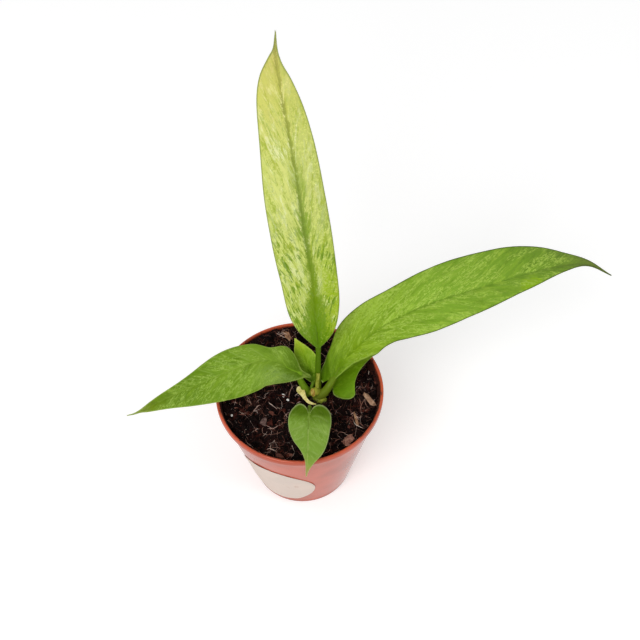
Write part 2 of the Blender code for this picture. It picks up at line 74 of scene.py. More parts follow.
# rows, columns: faces along the blade and on each side of its midrib
# wave: height and number of the ripples along the edges
# midrib: points from the stalk to the tip; face: the way that the top side looks
# left, right: the outline, each point along the midrib and out from it
# fold_left, fold_right: share of the length, degrees, curl for each millimetre
# creases: for one flank, the start, end, degrees and curl of a lobe folded down
# rib: thickness and half width; vein_gap: step between side veins
# window: how far the midrib's direction is evened out
LEAVES = {
    "tall": {
        "node": "leaf_tall", "rows": 260, "columns": 22, "wave": (0.5, 3.0),
        "midrib": [(10.5, 10.7, 90), (9.3, 26.9, 124), (6.8, 35, 145), (3.8, 46, 177),
                   (1.0, 56, 198), (-1.6, 66.5, 215), (-2.6, 74, 224), (-2.2, 81, 231)],
        "face": (0.05, -0.8, 0.6),
        "left": [(0.3, 0.9), (5, 5), (11, 9.3), (21, 13.6), (42, 16), (63, 16.6), (88, 16.6),
                 (111, 14.4), (133, 11.5), (142, 8.4), (148.5, 3.9), (152.5, 1.2), (157, 0.45),
                 (160.5, 0.2)],
        "right": [(0.3, 0.9), (6, 6), (12.5, 9.5), (24, 11.9), (42, 12.2), (63, 12.7),
                  (88, 11.7), (112, 10.4), (127, 8.4), (138, 5.6), (146, 2.4), (152, 0.95),
                  (157, 0.4), (160.5, 0.2)],
        "fold_left": [(0, 20, -0.02), (1, 12, -0.01)],
        "fold_right": [(0, 20, -0.02), (1, 12, -0.01)],
        "rib": (1.9, 1.25), "vein_gap": 9.0,
    },
    "right": {
        "node": "leaf_right", "rows": 280, "columns": 28, "wave": (0.6, 3.5),
        "midrib": [(17.2, 3.3, 73.7), (23.8, 10.9, 79), (32.6, 15.1, 87), (44.2, 18.3, 96),
                   (56.6, 20.3, 103), (71.3, 22.2, 109), (91, 24.6, 114), (111, 30, 115),
                   (133, 38, 111), (150, 43.6, 104), (163, 43, 95)],
        "face": (0.0, -0.25, 1.0),
        "left": [(-5.2, 4.0), (-4.2, 6.6), (-0.6, 8.2), (5, 8.6), (11, 9.6), (19.7, 14.4),
                 (31.7, 16.4), (45.7, 16.4), (67.7, 18.2), (83.7, 19.6), (100.7, 18.6),
                 (116.7, 15.8), (132.7, 11), (146.7, 4.9), (154.7, 2.2), (160.7, 1.0),
                 (165.7, 0.5), (169.7, 0.2)],
        "right": [(-0.5, 1.6), (-2.9, 3.4), (-5.9, 5.8), (-7.9, 8.4), (-7.8, 11.6),
                  (-6.7, 14.6), (-4.6, 16.8), (-2.3, 16.9), (0.3, 15.2), (3.7, 13.2),
                  (7.7, 12.0), (13.7, 11.2), (20.1, 10.6), (25.7, 9.9), (32.7, 9.4),
                  (39.7, 10.2), (47.7, 12.4), (59.7, 14.8), (67.7, 15), (86.7, 12.8),
                  (102.7, 10.4), (117.7, 7.6), (131.7, 4.6), (143.7, 2.2), (150.7, 1.1),
                  (157.7, 0.55), (163.7, 0.35), (169.7, 0.2)],
        "fold_left": [(0, 10, -0.02), (1, 5, -0.02)],
        "fold_right": [(-0.06, -8, 0.02), (0.03, -8, 0.02), (0.12, -5, 0.0),
                       (0.25, 3, -0.01), (0.4, 12, -0.015), (1, 12, -0.015)],
        "creases": {1: ((0.0, 0.7), (31.0, 9.9), 76, 0.098),
                    -1: ((0.2, 0.9), (9.7, 9.2), 38, 0.03)},
        "rib": (1.8, 1.2), "vein_gap": 10.0,
    },
    "left": {
        "node": "leaf_left", "rows": 190, "columns": 20, "wave": (0.8, 2.5),
        "midrib": [(1.2, 5.7, 76.2), (-4.2, 6.2, 79.8), (-9, 7.8, 83), (-15.9, 9, 85),
                   (-22, 7.5, 85.5), (-33.5, 4.1, 84.5), (-49, -0.3, 81), (-67, -5.6, 76.5),
                   (-82.5, -10.6, 72.5), (-86, -11, 71.8)],
        "face": (0.1, -0.2, 1.0),
        "left": [(-6.2, 0.15), (-3.6, 1.0), (0.6, 4), (6.4, 7.6), (15, 12.6), (34, 14.2),
                 (46, 13.3), (56, 11.2), (70, 6.6), (84, 2.3), (88, 0.8), (91, 0.4),
                 (95, 0.2)],
        "right": [(-6.2, 0.3), (-5, 1.2), (-2.8, 1.2), (0.2, 1.8), (3.1, 4.2), (7.5, 7.9),
                  (12.5, 9.2), (18.5, 6.6), (25, 9.6), (35, 10.6), (47, 9.3), (65, 5),
                  (82, 2.0), (88, 0.7), (91, 0.35), (95, 0.2)],
        "fold_left": [(0, -10, -0.02), (1, -5, -0.01)],
        "fold_right": [(0, 15, -0.02), (1, 5, -0.01)],
        "rib": (1.5, 1.0), "vein_gap": 8.0, "window": 30.0,
    },
    "front": {
        "node": "leaf_front", "rows": 110, "columns": 20, "wave": (0.25, 2.0),
        "midrib": [(4.1, -21.2, 80.3), (3.4, -28, 80.6), (2.8, -36, 79.6), (2.2, -43, 77),
                   (1.0, -52, 73)],
        "face": (0.0, -0.3, 1.0),
        "left": [(-0.3, 0.7), (-2.6, 1.2), (-4.6, 2.6), (-5.5, 4.9), (-4.4, 7.8), (-1.3, 10.3),
                 (2.8, 11), (6.5, 11), (9.8, 10.5), (14.5, 9.7), (18.3, 8.6), (21.8, 6.7),
                 (24.8, 4.1), (27.9, 1.9), (30.2, 0.7), (32.1, 0.2)],
        "right": [(-0.3, 0.7), (-2.6, 1.2), (-4.7, 2.7), (-5.6, 5.2), (-3.2, 7.8), (0.6, 9.6),
                  (4.1, 10), (7.6, 9.7), (11, 8.9), (15, 7.2), (19, 4.2), (22.1, 2.3),
                  (24.8, 1.2), (27.8, 0.6), (32.1, 0.2)],
        "fold_left": [(0, 8, -0.03), (1, 5, -0.02)],
        "fold_right": [(0, 8, -0.03), (1, 5, -0.02)],
        "rib": (1.2, 0.8), "vein_gap": 5.5,
    },
    "young": {
        "node": "leaf_young", "rows": 80, "columns": 14, "wave": (0.15, 2.0),
        "midrib": [(7.1, 5.9, 66.6), (4.1, 13.8, 74), (-1.0, 23.6, 81.5)],
        "face": (-0.2, -0.6, 0.8),
        "left": [(0.3, 0.7), (4, 3.6), (9, 5.2), (14, 5), (19, 3.2), (22.5, 1.2),
                 (24.7, 0.2)],
        "right": [(0.3, 0.7), (4, 4.6), (9, 6.6), (14, 6), (19, 3.6), (22.5, 1.4),
                  (24.7, 0.2)],
        "fold_left": [(0, 20, -0.02), (1, 10, -0.01)],
        "fold_right": [(0, 20, -0.02), (1, 10, -0.01)],
        "rib": (1.0, 0.7), "vein_gap": 5.0,
    },
}

# Foot radius, top radius and points from the foot of the stalk of each leaf (mm)
STALKS = {
    "tall": (1.75, 1.2, [(9.6, 1.5, 61.5), (9.6, 2.2, 65), (9.6, 4.3, 70), (10.0, 7.6, 79)]),
    "right": (2.7, 1.65, [(8.4, -0.6, 62.6), (10.9, -0.9, 65.3), (13.6, 0.0, 68.2),
                          (15.6, 1.4, 71.0)]),
    "left": (2.2, 1.4, [(4.2, 2.2, 62.0), (3.1, 3.0, 65.5), (1.6, 4.0, 69.0), (0.4, 4.8, 72.3)]),
    "front": (1.15, 0.85, [(4.5, -6.4, 58), (4.5, -7.2, 62), (4.6, -10.8, 70),
                           (4.4, -16.4, 76.8)]),
    "young": (1.1, 0.8, [(6.0, 3.8, 62.6), (6.2, 4.4, 64.6)]),
}

# Lumps that the crown is grown from: centre and half sizes (mm)
CROWN_LUMPS = [
    ((9.3, 0.3, 59.5), (4.5, 4.3, 5.5)),
    ((10.0, -1.7, 63.2), (3.1, 2.6, 2.3)),
    ((10.9, -2.6, 62.9), (2.7, 2.1, 2.2)),
    ((9.5, 1.7, 63.8), (2.5, 2.2, 3.2)),
    ((6.7, 1.3, 63.9), (2.2, 2.0, 2.4)),
    ((4.4, 2.1, 62.9), (1.9, 1.7, 2.2)),
    ((6.1, 3.8, 63.0), (1.7, 1.6, 2.2)),
]

# Loose pieces on the soil: length, width, height, x, y (mm), bearing, tilt (degrees), kind
CHIPS = {
    "wood_splinter": (9.4, 2.5, 1.1, 35.2, -3.8, -60.0, 4.0, "splinter_wood"),
    "bark_chip_front": (7.6, 5.6, 3.0, 22.4, -27.0, 30.0, 6.0, "pink_bark"),
    "bark_chip_back": (6.4, 2.9, 1.6, -4.8, 34.6, -70.0, 5.0, "tan_bark"),
    "bark_chip_left": (4.8, 3.6, 1.8, -18.6, -14.0, 70.0, 8.0, "grey_bark"),
    "twig_right": (7.6, 1.3, 1.0, 27.6, -14.6, -80.0, 3.0, "tan_bark"),
}
# White grains on the soil: radius, x, y (mm)
GRAINS = {
    "perlite_1": (0.85, -8.3, 0.9),
    "perlite_2": (0.8, -6.3, -1.3),
    "perlite_3": (0.55, -34.8, -9.6),
}


# ---------------------------------------------------------------- settings

class PotSettings(bpy.types.PropertyGroup):
    """Sizes and colour of the nursery pot and its label."""

    height: FloatProperty(
        name="Height", description="Height of the pot", default=POT_HIGH[2], unit="LENGTH")
    rim_radius: FloatProperty(
        name="Rim radius", description="Outer radius of the rolled rim",
        default=POT_HIGH[0], unit="LENGTH")
    base_radius: FloatProperty(
        name="Base radius", description="Outer radius of the underside", default=0.026,
        unit="LENGTH")
    wall_top_radius: FloatProperty(
        name="Wall top radius", description="Outer radius of the wall just under the rim",
        default=0.0414, unit="LENGTH")
    colour: FloatVectorProperty(
        name="Plastic", description="Colour of the plastic", subtype="COLOR", size=3,
        min=0.0, max=1.0, default=(0.57, 0.09, 0.034))
    label_colour: FloatVectorProperty(
        name="Label", description="Colour of the paper label", subtype="COLOR", size=3,
        min=0.0, max=1.0, default=(0.78, 0.655, 0.575))


class SoilSettings(bpy.types.PropertyGroup):
    """How much loose material lies on the soil, and its colour."""

    crumbs: IntProperty(
        name="Crumbs", description="Number of loose crumbs on the soil", default=2300, min=0)
    fibres: IntProperty(
        name="Fibres", description="Number of coir fibres on the soil", default=720, min=0)
    seed: IntProperty(name="Seed", description="Seed of the scatter", default=11)
    colour: FloatVectorProperty(
        name="Soil", description="Colour of the damp soil", subtype="COLOR", size=3,
        min=0.0, max=1.0, default=(0.014, 0.0042, 0.0036))


class LeafSettings(bpy.types.PropertyGroup):
    """Thickness and relief of the blades."""

    thickness: FloatProperty(
        name="Thickness", description="Thickness of a blade between its veins",
        default=0.0005, unit="LENGTH")
    groove: FloatProperty(
        name="Midrib groove", description="Depth of the groove along the midrib",
        default=0.0003, unit="LENGTH")
    quilting: FloatProperty(
        name="Quilting", description="Rise of the blade between two side veins",
        default=0.00022, unit="LENGTH")


class StageSettings(bpy.types.PropertyGroup):
    """Lights of the studio."""

    key: FloatProperty(
        name="Key light", description="Power of the large lamp above the pot", default=15.5,
        unit="POWER")
    fill: FloatProperty(
        name="Fill light", description="Power of the lamp on the right", default=1.6,
        unit="POWER")
    sky: FloatProperty(
        name="Surroundings", description="Strength of the white surroundings", default=0.5)


# ---------------------------------------------------------------- small tools

def deselect_all():
    """Leave edit mode and select nothing."""
    if bpy.context.object and bpy.context.object.mode != "OBJECT":
        bpy.ops.object.mode_set(mode="OBJECT")
    bpy.ops.object.select_all(action="DESELECT")


def activate(piece):
    """Select only this piece."""
    deselect_all()
    piece.select_set(True)
    bpy.context.view_layer.objects.active = piece


def apply_modifiers(piece):
    """Apply the piece's modifiers in order."""
    activate(piece)
    for modifier in list(piece.modifiers):
        bpy.ops.object.modifier_apply(modifier=modifier.name)


def coordinates(piece):
    """Read the piece's vertices as an array."""
    flat = np.empty(len(piece.data.vertices) * 3)
    piece.data.vertices.foreach_get("co", flat)
    return flat.reshape(-1, 3)


def move_vertices(piece, places):
    """Put the piece's vertices at these places, in metres."""
    piece.data.vertices.foreach_set("co", np.ascontiguousarray(places).reshape(-1))
    piece.data.update()


def link_object(name, data):
    """Make an object of its data and put it in the scene."""
    piece = bpy.data.objects.new(name, data)
    bpy.context.scene.collection.objects.link(piece)
    return piece


def edit_all(piece):
    """Open edit mode with the whole piece selected."""
    activate(piece)
    bpy.ops.object.mode_set(mode="EDIT")
    bpy.ops.mesh.select_all(action="SELECT")


def face_outwards(piece):
    """Turn all faces of the piece outwards."""
    edit_all(piece)
    bpy.ops.mesh.normals_make_consistent(inside=False)
    bpy.ops.object.mode_set(mode="OBJECT")


def turn_over(piece):
    """Turn all faces of the piece the other way."""
    edit_all(piece)
    bpy.ops.mesh.flip_normals()
    bpy.ops.object.mode_set(mode="OBJECT")


def settle(piece, name, nodes=(), angle=60.0):
    """Name and smooth a finished piece and let it ride on the plant's body."""
    activate(piece)
    bpy.ops.object.transform_apply(location=True, rotation=True, scale=True)
    bpy.ops.object.shade_smooth_by_angle(angle=math.radians(angle))
    piece.name = name
    piece.data.name = name
    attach(piece, BODY)
    if nodes:
        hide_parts(*nodes)


def grid_sheet(places):
    """Add a grid and lay it on places[row, column], in metres."""
    rows, columns = places.shape[:2]
    deselect_all()
    bpy.ops.mesh.primitive_grid_add(
        x_subdivisions=columns - 1, y_subdivisions=rows - 1, size=1.0)
    sheet = bpy.context.object
    if len(sheet.data.vertices) != rows * columns:
        raise RuntimeError("the grid has an unexpected number of points")
    move_vertices(sheet, places)
    return sheet


def middle_face(sheet):
    """Pick the face in the middle of a grid."""
    return sheet.data.polygons[len(sheet.data.polygons) // 2]


def round_grid(radius, count):
    """Spread a square grid of count by count spots over a disc."""
    steps = np.linspace(-1.0, 1.0, count)
    u, v = np.meshgrid(steps, steps)
    return radius * u * np.sqrt(1.0 - v * v / 2.0), radius * v * np.sqrt(1.0 - u * u / 2.0)


def store(piece, name, values):
    """Keep one number for each vertex, for the materials to read."""
    layer = piece.data.attributes.new(name, "FLOAT", "POINT")
    layer.data.foreach_set("value", np.ascontiguousarray(values, dtype=np.float32).reshape(-1))


def thicken(piece, thickness, weights=None, offset=-1.0, materials=0):
    """Give a sheet its thickness; weights scale it from vertex to vertex."""
    shell = piece.modifiers.new("Thickness", "SOLIDIFY")
    shell.thickness = thickness
    shell.offset = offset
    shell.material_offset = materials
    if weights is not None:
        group = piece.vertex_groups.new(name="thickness")
        for index, weight in enumerate(np.asarray(weights).reshape(-1)):
            group.add([index], float(weight), "REPLACE")
        shell.vertex_group = group.name
    apply_modifiers(piece)


def lathe(section, steps):
    """Extrude a ring through a section's (radius, height) pairs, from the inside outwards."""
    (radius, height), rest = section[0], section[1:]
    deselect_all()
    bpy.ops.mesh.primitive_circle_add(
        vertices=steps, radius=radius, location=(0.0, 0.0, height), fill_type="NGON")
    piece = bpy.context.object
    bpy.ops.object.transform_apply(location=True, rotation=True, scale=True)
    edit_all(piece)
    for wide, high in rest:
        bpy.ops.mesh.extrude_edges_move(
            TRANSFORM_OT_translate={"value": (0.0, 0.0, high - height)})
        share = wide / radius
        bpy.ops.transform.resize(value=(share, share, 1.0), center_override=(0.0, 0.0, 0.0))
        radius, height = wide, high
    bpy.ops.mesh.edge_face_add()
    face_outwards(piece)
    return piece


def smooth_path(points, count):
    """Space count points evenly along a centripetal Catmull-Rom curve through the points."""
    ends = np.array(points, float)
    ends = np.vstack((2 * ends[0] - ends[1], ends, 2 * ends[-1] - ends[-2]))
    dense = []
    for a, b, c, d in zip(ends, ends[1:], ends[2:], ends[3:]):
        k1 = np.linalg.norm(b - a) ** 0.5
        k2 = k1 + np.linalg.norm(c - b) ** 0.5
        k3 = k2 + np.linalg.norm(d - c) ** 0.5
        x = np.linspace(k1, k2, 25)[:-1, None]
        ab = a + (b - a) * x / k1
        bc = b + (c - b) * (x - k1) / (k2 - k1)
        cd = c + (d - c) * (x - k2) / (k3 - k2)
        abc = ab + (bc - ab) * x / k2
        bcd = bc + (cd - bc) * (x - k1) / (k3 - k1)
        dense.extend(abc + (bcd - abc) * (x - k1) / (k2 - k1))
    dense = np.array(dense + [ends[-2]])
    return resample(dense, np.linspace(0.0, 1.0, count))


def resample(dense, shares):
    """Read a polyline at these shares of its length."""
    reach = np.r_[0.0, np.cumsum(np.linalg.norm(np.diff(dense, axis=0), axis=1))]
    goals = np.asarray(shares) * reach[-1]
    return np.stack([np.interp(goals, reach, dense[:, axis]) for axis in range(3)], axis=1)


def unit(vectors):
    """Scale vectors to length 1."""
    return vectors / np.maximum(np.linalg.norm(vectors, axis=-1, keepdims=True), 1e-12)


def pot_wall():
    """Give the wall's radius at its foot, that at its top, and its height (mm)."""
    pot = bpy.context.scene.anthurium_pot
    return pot.base_radius / MM, pot.wall_top_radius / MM, pot.height / MM - RIM_DROP


def soft_step(low, high, values):
    """Rise smoothly from 0 at low to 1 at high."""
    share = np.clip((values - low) / (high - low), 0.0, 1.0)
    return share * share * (3.0 - 2.0 * share)


def strands(name, paths, radii, roundness=0, tones=None):
    """Make tapering strands along paths (arrays of points in metres) as one closed mesh."""
    curve = bpy.data.curves.new(name, "CURVE")
    curve.dimensions = "3D"
    curve.bevel_depth = 1.0
    curve.bevel_resolution = roundness
    curve.use_fill_caps = True
    curve.resolution_u = 1
    for path, radius in zip(paths, radii):
        spline = curve.splines.new("POLY")
        spline.points.add(len(path) - 1)
        spline.points.foreach_set("co", np.c_[path, np.ones(len(path))].reshape(-1))
        spline.points.foreach_set("radius", radius)
    activate(link_object(name, curve))
    bpy.ops.object.convert(target="MESH")
    piece = bpy.context.object
    if tones is not None:
        each, rest = divmod(len(piece.data.vertices), len(paths))
        if rest:
            raise RuntimeError("the strands have an unexpected number of points")
        store(piece, "tone", np.repeat(tones, each))
    edit_all(piece)
    bpy.ops.mesh.remove_doubles(threshold=1e-6)
    face_outwards(piece)
    return piece


# ---------------------------------------------------------------- shader tools

def tint(colour):
    """Turn a web colour into the linear colour that shaders use; keep a linear one."""
    if not isinstance(colour, str):
        return tuple(colour)
    values = [int(colour[index:index + 2], 16) / 255.0 for index in (1, 3, 5)]
    return tuple(v / 12.92 if v <= 0.04045 else ((v + 0.055) / 1.055) ** 2.4 for v in values)


def shade(colour, factor, lift=0.0):
    """Make a colour darker or lighter."""
    return tuple(min(channel * factor + lift, 1.0) for channel in tint(colour))


class Shader:
    """A Principled material and short ways to add nodes to it."""

    def __init__(self, name, roughness, specular, sheen=(1.0, 1.0, 1.0)):
        self.material = bpy.data.materials.new(name)
        self.material.use_nodes = True
        self.nodes = self.material.node_tree.nodes
        self.links = self.material.node_tree.links
        self.surface = self.nodes["Principled BSDF"]
        self.set_surface({"Roughness": roughness, "Specular IOR Level": specular,
                          "Specular Tint": sheen})
        self.place = self.nodes.new("ShaderNodeTexCoord").outputs["Object"]

    def plug(self, socket, value):
        """Link a socket, or set a colour or a plain value on it."""
        if isinstance(value, bpy.types.NodeSocket):
            self.links.new(value, socket)
        elif socket.type == "RGBA":
            socket.default_value = (*tint(value), 1.0)
        else:
            socket.default_value = value

    def set_surface(self, values):
        """Plug values into the surface's inputs of these names."""
        for name, value in values.items():
            self.plug(self.surface.inputs[name], value)

    def node(self, kind, inputs):
        """Add a node and plug its inputs, each by name or number."""
        node = self.nodes.new(f"ShaderNode{kind}")
        for name, value in inputs.items():
            self.plug(node.inputs[name], value)
        return node

    def math(self, operation, *values):
        """Calculate with up to three values."""
        node = self.node("Math", dict(enumerate(values)))
        node.operation = operation
        return node.outputs[0]

    def add(self, first, second):
        """Add two values."""
        return self.math("ADD", first, second)

    def times(self, first, *others):
        """Multiply values."""
        for other in others:
            first = self.math("MULTIPLY", first, other)
        return first

    def from_axis(self, x, y):
        """Give a spot's distance from the pot's axis."""
        return self.math("SQRT", self.add(self.times(x, x), self.times(y, y)))

    def step(self, value, low, high, start=0.0, end=1.0):
        """Map value smoothly from low..high to start..end."""
        node = self.node("MapRange", dict(enumerate((value, low, high, start, end))))
        node.interpolation_type = "SMOOTHSTEP"
        return node.outputs[0]

    def line(self, value, low, high):
        """Give thin lines where noise crosses its middle."""
        return self.step(self.math("ABSOLUTE", self.add(value, -0.5)), low, high)

    def paint(self, colour, tone, *masks):
        """Lay a tone over the colour, as strongly as its masks multiplied together."""
        node = self.nodes.new("ShaderNodeMix")
        node.data_type = "RGBA"
        for index, value in ((0, self.times(*masks)), (6, colour), (7, tone)):
            self.plug(node.inputs[index], value)
        return node.outputs[2]

    def noise(self, vector, scale, detail=3.0, roughness=0.55, distortion=0.0):
        """Give cloudy noise around a half."""
        return self.node("TexNoise", {"Vector": vector, "Scale": scale, "Detail": detail,
                                      "Roughness": roughness,
                                      "Distortion": distortion}).outputs[0]

    def cells(self, vector, scale):
        """Give the distance to the nearest of scattered points."""
        return self.node("TexVoronoi", {"Vector": vector, "Scale": scale}).outputs["Distance"]

    def join(self, x, y, z):
        """Make a vector."""
        return self.node("CombineXYZ", {0: x, 1: y, 2: z}).outputs[0]

    def split(self, vector):
        """Take a vector apart."""
        return self.node("SeparateXYZ", {0: vector}).outputs

    def stored(self, name):
        """Read a number stored on the mesh."""
        node = self.nodes.new("ShaderNodeAttribute")
        node.attribute_name = name
        return node.outputs["Fac"]

    def ramp(self, value, stops):
        """Turn a value into a colour; stops are (place, colour)."""
        node = self.node("ValToRGB", {0: value})
        elements = node.color_ramp.elements
        while len(elements) < len(stops):
            elements.new(0.5)
        for element, (place, colour) in zip(elements, stops):
            element.position = place
            element.color = (*tint(colour), 1.0)
        return node.outputs[0]

    def bump(self, height, strength, distance, below=None):
        """Raise the surface by height, over the relief below."""
        inputs = {"Strength": strength, "Distance": distance, "Height": height}
        if below is not None:
            inputs["Normal"] = below
        return self.node("Bump", inputs).outputs[0]

    def finish(self, colour, roughness=None, normal=None):
        """Link what varies over the surface and hand the material over."""
        inputs = {"Base Color": colour, "Roughness": roughness, "Normal": normal}
        self.set_surface({name: value for name, value in inputs.items() if value is not None})
        return self.material


# ---------------------------------------------------------------- leaf surface

def table_at(rows, share):
    """Read a fold table at each share of the blade's length."""
    places = [row[0] for row in rows]
    return tuple(np.interp(share, places, [row[column] for row in rows]) for column in (1, 2))


class Blade:
    """The curved surface of a leaf blade, measured along and across its midrib (mm)."""

    SAMPLES = 321
    # Radius of a crease, and the step that its directions are measured over (mm)
    CREASE_RADIUS, NEAR = 0.8, 0.2

    def __init__(self, leaf):
        self.leaf = leaf
        self.path = smooth_path(leaf["midrib"], self.SAMPLES)
        self.length = np.linalg.norm(np.diff(self.path, axis=0), axis=1).sum()

    def at(self, reach):
        """Read the midrib at fractional sample numbers."""
        spots = np.arange(self.SAMPLES)
        return np.stack([np.interp(reach, spots, self.path[:, axis]) for axis in range(3)], -1)

    def frame(self, along):
        """Give the midrib's point, direction, side and normal at distances along it."""
        inside = np.clip(along, 0.0, self.length)
        reach = inside / self.length * (self.SAMPLES - 1)
        window = self.leaf.get("window", 9.0)
        forward = unit(self.at(reach + window) - self.at(reach - window))
        side = unit(np.cross(forward, np.array(self.leaf["face"], float)))
        point = self.at(reach) + forward * (along - inside)[..., None]
        return point, forward, side, np.cross(side, forward)

    def bend(self, along, across, hand, lift=0.0):
        """Bend flat spots (across is positive; hand is -1 or 1) into place."""
        middle, _, side, normal = self.frame(along)
        share = along / self.length
        left, right = (table_at(self.leaf[key], share) for key in ("fold_left", "fold_right"))
        degrees = np.where(hand > 0, right[0], left[0])
        curl = np.where(hand > 0, right[1], left[1])
        curl = np.where(np.abs(curl) < 1e-4, 1e-4, curl)
        angle = np.radians(degrees)
        turned = angle + curl * across
        out = (np.sin(turned) - np.sin(angle)) / curl
        up = (np.cos(angle) - np.cos(turned)) / curl
        height, waves = self.leaf["wave"]
        ripple = np.sin(math.tau * waves * share + hand)
        up = up + height * ripple * np.clip(across / 8.0, 0.0, 1.0) ** 2
        return middle + side * (out * hand)[..., None] + normal * (up + lift)[..., None]

    def point(self, along, across, hand, lift):
        """Place flat spots, with the lobes beyond the leaf's creases folded down."""
        places = self.bend(along, across, hand, lift)
        for flank, crease in self.leaf.get("creases", {}).items():
            folded, beyond = self.fold(crease, along, across, hand, lift)
            lobe = (hand == flank) & (beyond > 0.0)
            places = np.where(lobe[..., None], folded, places)
        return places

    def fold(self, crease, along, across, hand, lift):
        """Roll flat spots down round a crease, and tell how far beyond it they lie."""
        start, end, degrees, curl = crease
        run = unit(np.subtract(end, start))
        out = np.array((-run[1], run[0]))
        from_start = np.stack((along, across), axis=-1) - np.array(start)
        beyond = from_start @ out
        foot = np.array(start) + (from_start @ run)[..., None] * run

        def near(shift):
            return self.bend(foot[..., 0] + shift[0], foot[..., 1] + shift[1], hand)

        outward = unit(near(out * self.NEAR) - near(-out * self.NEAR))
        lengthwise = unit(near(run * self.NEAR) - near(-run * self.NEAR))
        upward = np.cross(outward, lengthwise)
        upward = upward * np.sign(upward[..., 2:])
        most = math.radians(degrees)
        arm = self.CREASE_RADIUS / most
        far = np.maximum(beyond - self.CREASE_RADIUS, 0.0)
        bent = np.clip(beyond / self.CREASE_RADIUS, 0.0, 1.0) * most
        end_turn = most - curl * far
        reach = arm * np.sin(bent) + (math.sin(most) - np.sin(end_turn)) / curl
        drop = arm * (1.0 - np.cos(bent)) + (np.cos(end_turn) - math.cos(most)) / curl
        turned = (bent - curl * far)[..., None]
        skin = upward * np.cos(turned) + outward * np.sin(turned)
        folded = (near((0.0, 0.0)) + outward * reach[..., None]
                  - upward * drop[..., None] + skin * lift[..., None])
        return folded, beyond

    def past_crease(self, along, across, hand):
        """Measure how far spots lie beyond a crease of the leaf (0 on the main blade)."""
        past = np.zeros(along.shape)
        for flank, (start, end, *_) in self.leaf.get("creases", {}).items():
            run = unit(np.subtract(end, start))
            beyond = (across - start[1]) * run[0] - (along - start[0]) * run[1]
            past = np.where(hand == flank, np.maximum(past, beyond), past)
        return past


def side_veins(gap, length, chance):
    """Start side veins at uneven steps along the midrib (mm)."""
    veins, place = [], 0.3 * gap
    while place < length:
        veins.append(place)
        place += gap * chance.uniform(0.72, 1.28)
    return np.array(veins)


def blade_mesh(key):
    """Make one blade: a grid laid on its surface, with veins, then thickened downwards."""
    leaf = LEAVES[key]
    look = bpy.context.scene.anthurium_leaf
    blade = Blade(leaf)
    rows, columns = leaf["rows"], leaf["columns"]
    step = (np.arange(rows + 1) / rows) ** 1.2
    root = (blade.length * step ** 1.2)[:, None]
    sign = np.arange(-columns, columns + 1) / columns
    share = np.abs(sign) ** 1.5
    hand = np.where(sign < 0, -1.0, 1.0)[None, :]
    left, right = (resample(smooth_path([(a, b, 0.0) for a, b in leaf[side]], 641), step)
                   for side in ("left", "right"))
    edge_x, edge_y = (np.where(hand < 0, left[:, axis, None], right[:, axis, None])
                      for axis in (0, 1))
    along = root + (edge_x - root) * share ** 1.2
    across = edge_y * share
    to_edge = edge_y * (1.0 - share)
    sides = np.broadcast_to(hand, along.shape)

    # Side veins lean towards the tip
    veins = side_veins(leaf["vein_gap"], blade.length, random.Random(key))
    lane = root - 0.8 * across + 0.6 * hand + 0.25 * np.sin(across * 0.55 + hand)
    away = np.min(np.abs(lane[..., None] - veins), axis=-1)
    reach = soft_step(0.5, 2.5, across) * soft_step(0.4, 2.2, to_edge)
    tail = soft_step(0.0, 0.06, along / blade.length) * (
        1.0 - soft_step(0.88, 0.97, along / blade.length))
    reach = reach * tail
    pillow = (1.0 - np.exp(-(away / 1.5) ** 2)) * reach
    thin = np.clip(1.0 - along / blade.length, 0.0, 1.0) ** 0.6
    rib_thick, rib_half = leaf["rib"]
    # The rib starts thin, where the stalk under it carries the blade
    grown = soft_step(0.2, 3.6, along)
    groove = np.exp(-(across / (rib_half * 0.55)) ** 2) * np.minimum(thin * 1.4, 1.0) * grown
    crumple = np.array([[noise.fractal(Vector((a * 0.09, b * h * 0.11, 7.3)), 1.0, 2.0, 3)
                         for a, b, h in zip(*line)]
                        for line in zip(along, across, sides)])
    lift = (look.quilting * pillow - look.groove * groove) / MM
    lift = lift + 0.22 * crumple * soft_step(1.0, 6.0, across)
    sheet = grid_sheet(blade.point(along, across, sides, lift) * MM)

    measures = {
        "along": along, "across": across * hand, "to_edge": to_edge,
        "part": along / blade.length, "lobe": blade.past_crease(along, across, sides),
        "vein": np.exp(-(away / 0.5) ** 2) * reach,
    }
    for name, values in measures.items():
        store(sheet, name, values)

    plate = look.thickness / MM
    thick = plate * (0.62 + 0.38 * soft_step(0.0, 2.0, to_edge))
    thick = thick + 0.16 * np.exp(-(away / 0.55) ** 2) * reach
    thick = thick + (rib_thick - plate) * thin * grown * np.exp(-(across / rib_half) ** 2)
    thick = thick * (0.3 + 0.7 * soft_step(0.8, 3.2, np.hypot(along, across)))
    most = float(thick.max())
    face_outwards(sheet)
    up = blade.frame(root[rows // 2])[3][0]
    if Vector(up).dot(middle_face(sheet).normal) < 0.0:
        turn_over(sheet)
    sheet.data.materials.append(leaf_material(f"{key} leaf top", LEAF_LOOKS[key], False))
    sheet.data.materials.append(leaf_material(f"{key} leaf underside", LEAF_LOOKS[key], True))
    thicken(sheet, most * MM, thick / most, materials=1)
    return sheet


# ---------------------------------------------------------------- leaf colours

# A fleck with this reach (mm) may lie anywhere on its blade
ANYWHERE = 99.0

